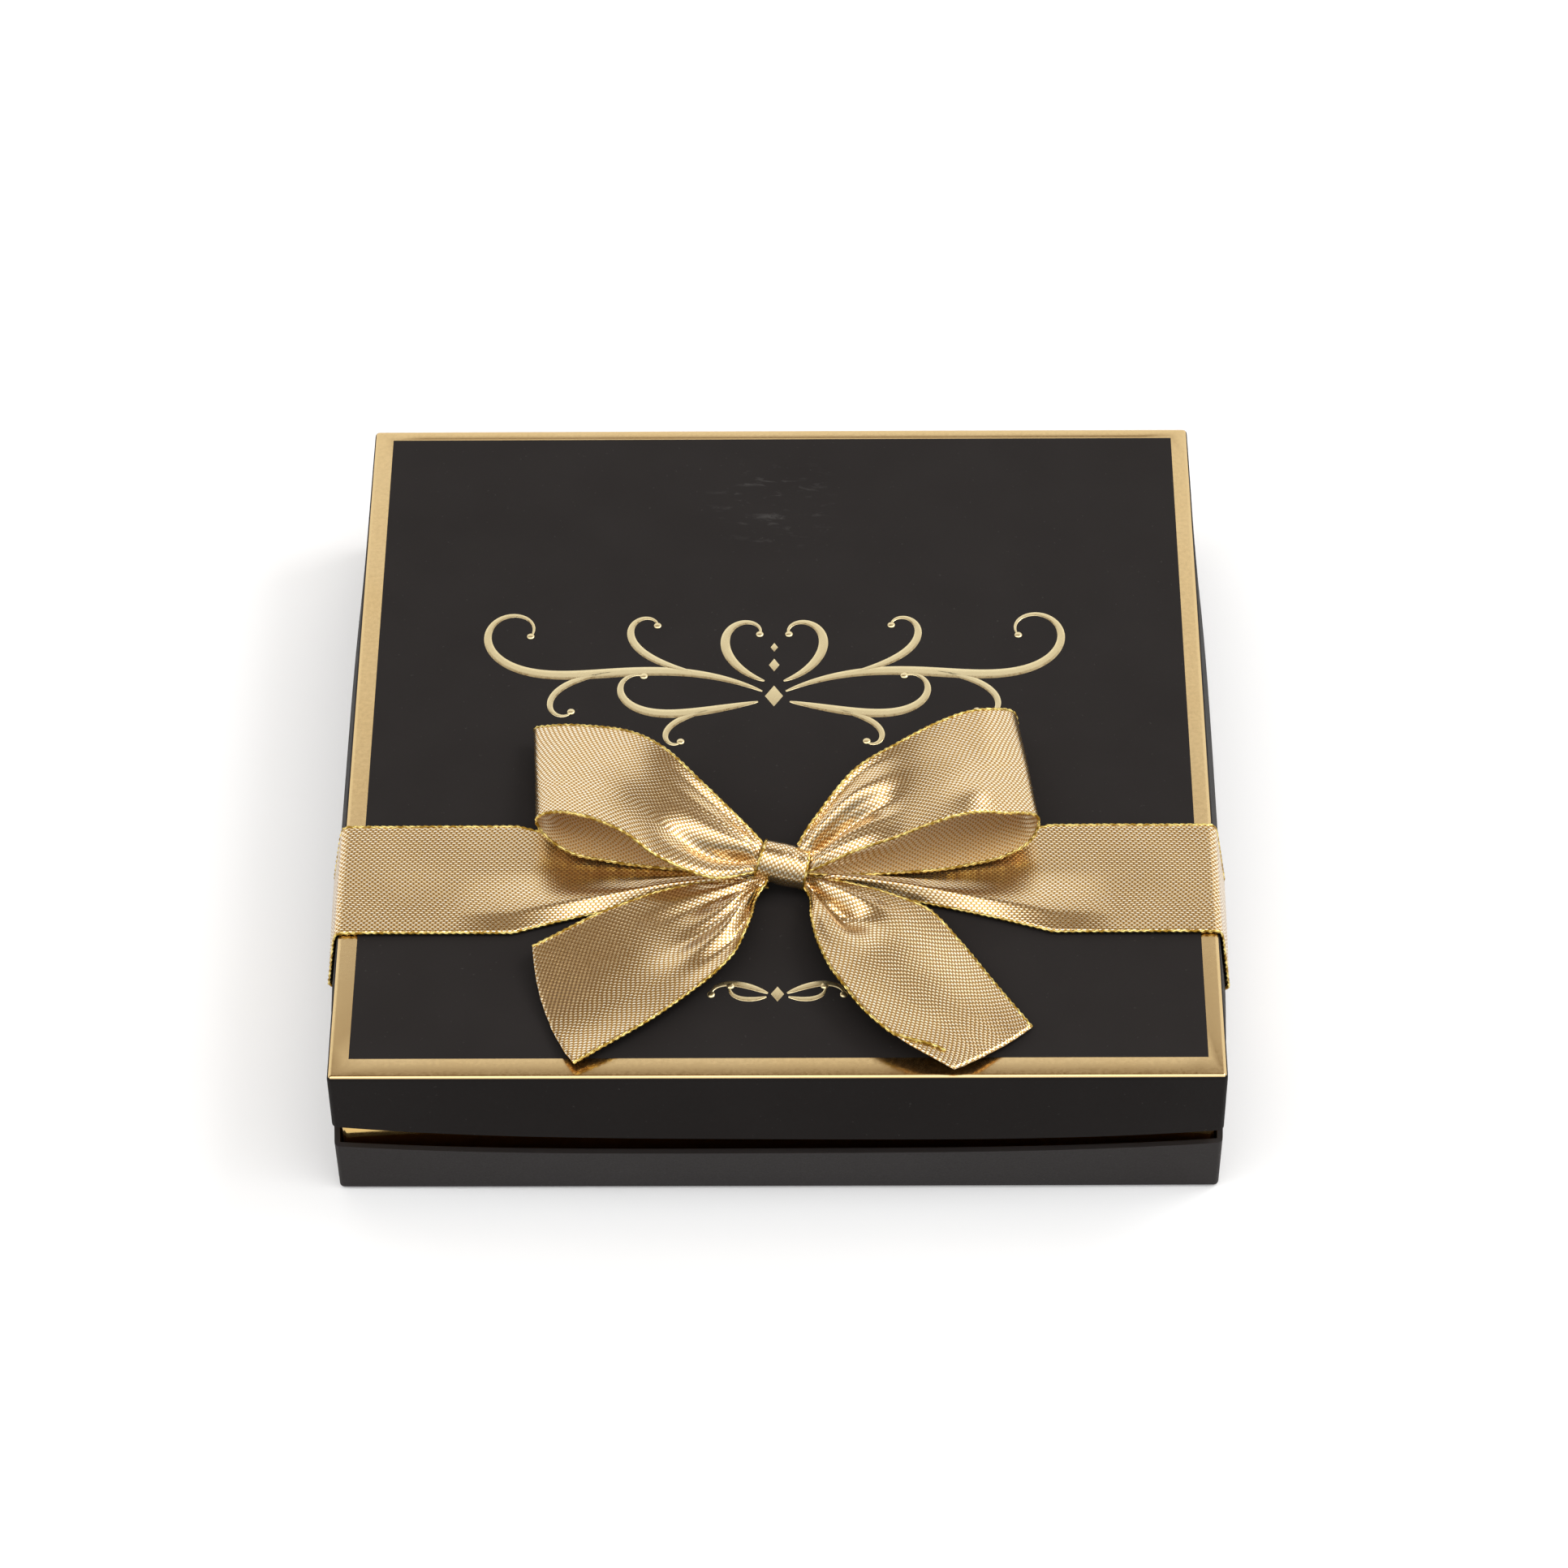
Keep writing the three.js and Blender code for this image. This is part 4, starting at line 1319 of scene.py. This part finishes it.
# Coatings: name, shape, finish, and the finish of the lines drawn over it
KINDS = [
    ("cocoa", cocoa_shape, COCOA, None),
    ("milk", smooth_shape, MILK, IVORY),
    ("dark", swirl_shape, DARK, None),
    ("ivory", smooth_shape, IVORY, DARK),
    ("nut", nut_shape, NUTS, None),
]


def truffle(row, column):
    node_name = f"truffle_{row}_{column}"
    low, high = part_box(node_name)
    place = Vector(((low.x + high.x) / 2, (low.y + high.y) / 2, low.z))
    height = high.z - low.z
    kind, shape, finish, lines = KINDS[(row * 2 + column) % len(KINDS)]
    turn = Matrix.Rotation(TURN_BY_ROW * row + TURN_BY_COLUMN * column, 3, "Z")
    bm = truffle_ball(height, lambda direction: shape(turn @ direction))
    bmesh.ops.translate(bm, vec=place, verts=bm.verts)
    materials = [finish]
    if lines:
        before = set(bm.faces)
        made = add_drizzle(bm, place, height)
        bmesh.ops.rotate(bm, cent=place, matrix=turn, verts=made)
        for face in set(bm.faces) - before:
            face.material_index = 1
        bmesh.ops.remove_doubles(bm, verts=made, dist=WELD)
        materials.append(lines)
    bmesh.ops.recalc_face_normals(bm, faces=bm.faces)
    finished(f"{node_name}_{kind}", bm, materials, "truffles", [node_name], sharp=60)
    paper_cup(f"paper_cup_{row}_{column}", place, turn)


def paper_cup(name, place, turn):
    """A fluted cup of thin foil paper."""
    bm = bmesh.new()

    def put(column, row):
        share = row / CUP_ROWS
        angle = 2 * math.pi * column / CUP_COLUMNS
        flute = CUP_FLUTE * lerp(CUP_FLUTE_LOW, 1, share) * math.cos(CUP_FLUTES * angle)
        radius = lerp(CUP_FOOT, CUP_MOUTH, share ** CUP_FLARE) + flute
        spot = turn @ Vector((radius * math.cos(angle), radius * math.sin(angle), 0))
        return place + spot + Vector((0, 0, CUP_LIFT + CUP_HEIGHT * share))

    mapped_grid(bm, CUP_COLUMNS, CUP_ROWS, put)
    bmesh.ops.remove_doubles(bm, verts=bm.verts, dist=WELD)
    floor_edges = [e for e in bm.edges if e.is_boundary and e.verts[0].co.z < place.z + MM]
    bmesh.ops.holes_fill(bm, edges=floor_edges, sides=0)
    bmesh.ops.recalc_face_normals(bm, faces=bm.faces)
    cup = finished(name, bm, [CUP_FOIL], "truffles", sharp=70)
    thickened(cup, CUP_PAPER, 0)


def cushion_pad():
    """A quilted pad of crimped paper: puffed between crossing lines, thin at its edges."""
    low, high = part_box("cushion_pad")
    side = high.x - low.x
    middle = (low.z + high.z) / 2
    half = (high.z - low.z) / 2
    quilt = side / PAD_QUILTS
    bm = bmesh.new()

    def puffed(i, j, face):
        x = (i / PAD_CELLS - 0.5) * side
        y = (j / PAD_CELLS - 0.5) * side
        first = abs(math.sin(math.pi * (x + y) / quilt))
        second = abs(math.sin(math.pi * (x - y) / quilt))
        inward = min(side / 2 - abs(x), side / 2 - abs(y))
        puff = half * (PAD_SEAM + PAD_PUFF * (first * second) ** 0.5)
        return Vector((x, y, middle + face * puff * smooth_step(inward / PAD_EDGE + PAD_EDGE_SHARE)))

    for face in (1, -1):
        mapped_grid(bm, PAD_CELLS, PAD_CELLS, lambda i, j: puffed(i, j, face))
    rims = [e for e in bm.edges if e.is_boundary]
    bmesh.ops.bridge_loops(bm, edges=rims)
    bmesh.ops.recalc_face_normals(bm, faces=bm.faces)
    pad = finished("cushion_pad_quilt", bm, [PAD_FINISH], "pad", ["cushion_pad"], sharp=60)


# Stage
def floor():
    bm = bmesh.new()
    bmesh.ops.create_grid(bm, x_segments=8, y_segments=8, size=FLOOR_HALF)
    bmesh.ops.translate(bm, vec=(0, 0, -FLOOR_DROP), verts=bm.verts)
    mesh = bpy.data.meshes.new("floor")
    bm.to_mesh(mesh)
    bm.free()
    mesh.materials.append(floor_paper("floor_paper"))
    sweep = bpy.data.objects.new("floor", mesh)
    bpy.context.scene.collection.objects.link(sweep)


def key_softbox():
    """A soft box high up on the right that looks at the object."""
    light = bpy.data.lights.new("key_softbox", "AREA")
    light.shape = "SQUARE"
    light.size = KEY_SIZE
    light.energy = KEY_POWER
    lit = bpy.data.objects.new("key_softbox", light)
    bpy.context.scene.collection.objects.link(lit)
    lit.visible_camera = False
    lit.location = KEY_PLACE
    lit.rotation_mode = "QUATERNION"
    lit.rotation_quaternion = (KEY_AIM - KEY_PLACE).to_track_quat("-Z", "Y")


def world():
    """A pale surround with one darker strip high up at the back, where two sheets of a light tent meet."""
    made = bpy.data.worlds.new("studio")
    bpy.context.scene.world = made
    made.use_nodes = True
    tree = made.node_tree
    ray = node(tree, "ShaderNodeTexCoord").outputs["Generated"]
    _, back, up = node(tree, "ShaderNodeSeparateXYZ", {0: ray}).outputs
    height = calc(tree, "DIVIDE", calc(tree, "ARCTAN2", calc(tree, "MAXIMUM", up, 0.0), back), math.pi)
    ramp = node(tree, "ShaderNodeValToRGB", {0: height})
    stops = ramp.color_ramp.elements
    for place, *_ in SURROUND[1:-1]:
        stops.new(place)
    for stop, (place, strength, (green, blue)) in zip(stops, SURROUND):
        stop.position = place
        share = strength / SURROUND_MOST
        stop.color = (share, share * green, share * blue, 1)
    tree.links.new(ramp.outputs[0], tree.nodes["Background"].inputs["Color"])
    tree.nodes["Background"].inputs["Strength"].default_value = SURROUND_MOST


def camera():
    sin_p, cos_p = math.sin(CAMERA_PITCH), math.cos(CAMERA_PITCH)
    level = Matrix(((1, 0, 0), (0, sin_p, cos_p), (0, cos_p, -sin_p)))
    turned = Matrix.Rotation(CAMERA_ROLL, 3, "Z") @ level @ Matrix.Rotation(CAMERA_YAW, 3, "Z")
    facing = Matrix((turned[0], turned[1], -turned[2])).transposed()
    lens = bpy.data.cameras.new("camera")
    lens.sensor_width = SENSOR
    lens.lens = FOCAL_PIXELS / PHOTO_PIXELS * SENSOR
    lens.clip_start = CAMERA_NEAR
    lens.clip_end = CAMERA_FAR
    seen = bpy.data.objects.new("camera", lens)
    bpy.context.scene.collection.objects.link(seen)
    seen.matrix_world = Matrix.Translation(CAMERA_EYE) @ facing.to_4x4()
    bpy.context.scene.camera = seen


camera()
world()
floor()
key_softbox()
bpy.context.scene.view_settings.view_transform = "Standard"

lid()
ornament()
base()
neck()
tray()
dividers()
for row in range(1, ROWS + 1):
    for column in range(1, ROWS + 1):
        truffle(row, column)
cushion_pad()
band("ribbon_band_left_cloth", "ribbon_band_left", -1)
band("ribbon_band_right_cloth", "ribbon_band_right", 1)
knot()
loop("bow_loop_left_cloth", "bow_loop_left", LOOP_LEFT, -1, PLEATS_LOOP_LEFT, SWELLS_LOOP_LEFT)
loop("bow_loop_right_cloth", "bow_loop_right", LOOP_RIGHT, 1, PLEATS_LOOP_RIGHT, SWELLS_LOOP_RIGHT)
tail(
    "bow_tail_left_cloth", "bow_tail_left", TAIL_LEFT, -1,
    PLEATS_TAIL_LEFT, SWELLS_TAIL_LEFT, CUT_LEFT, curl=CURL,
)
tail(
    "bow_tail_right_cloth", "bow_tail_right", TAIL_RIGHT, 1,
    PLEATS_TAIL_RIGHT, SWELLS_TAIL_RIGHT, CUT_RIGHT, loose=True,
)
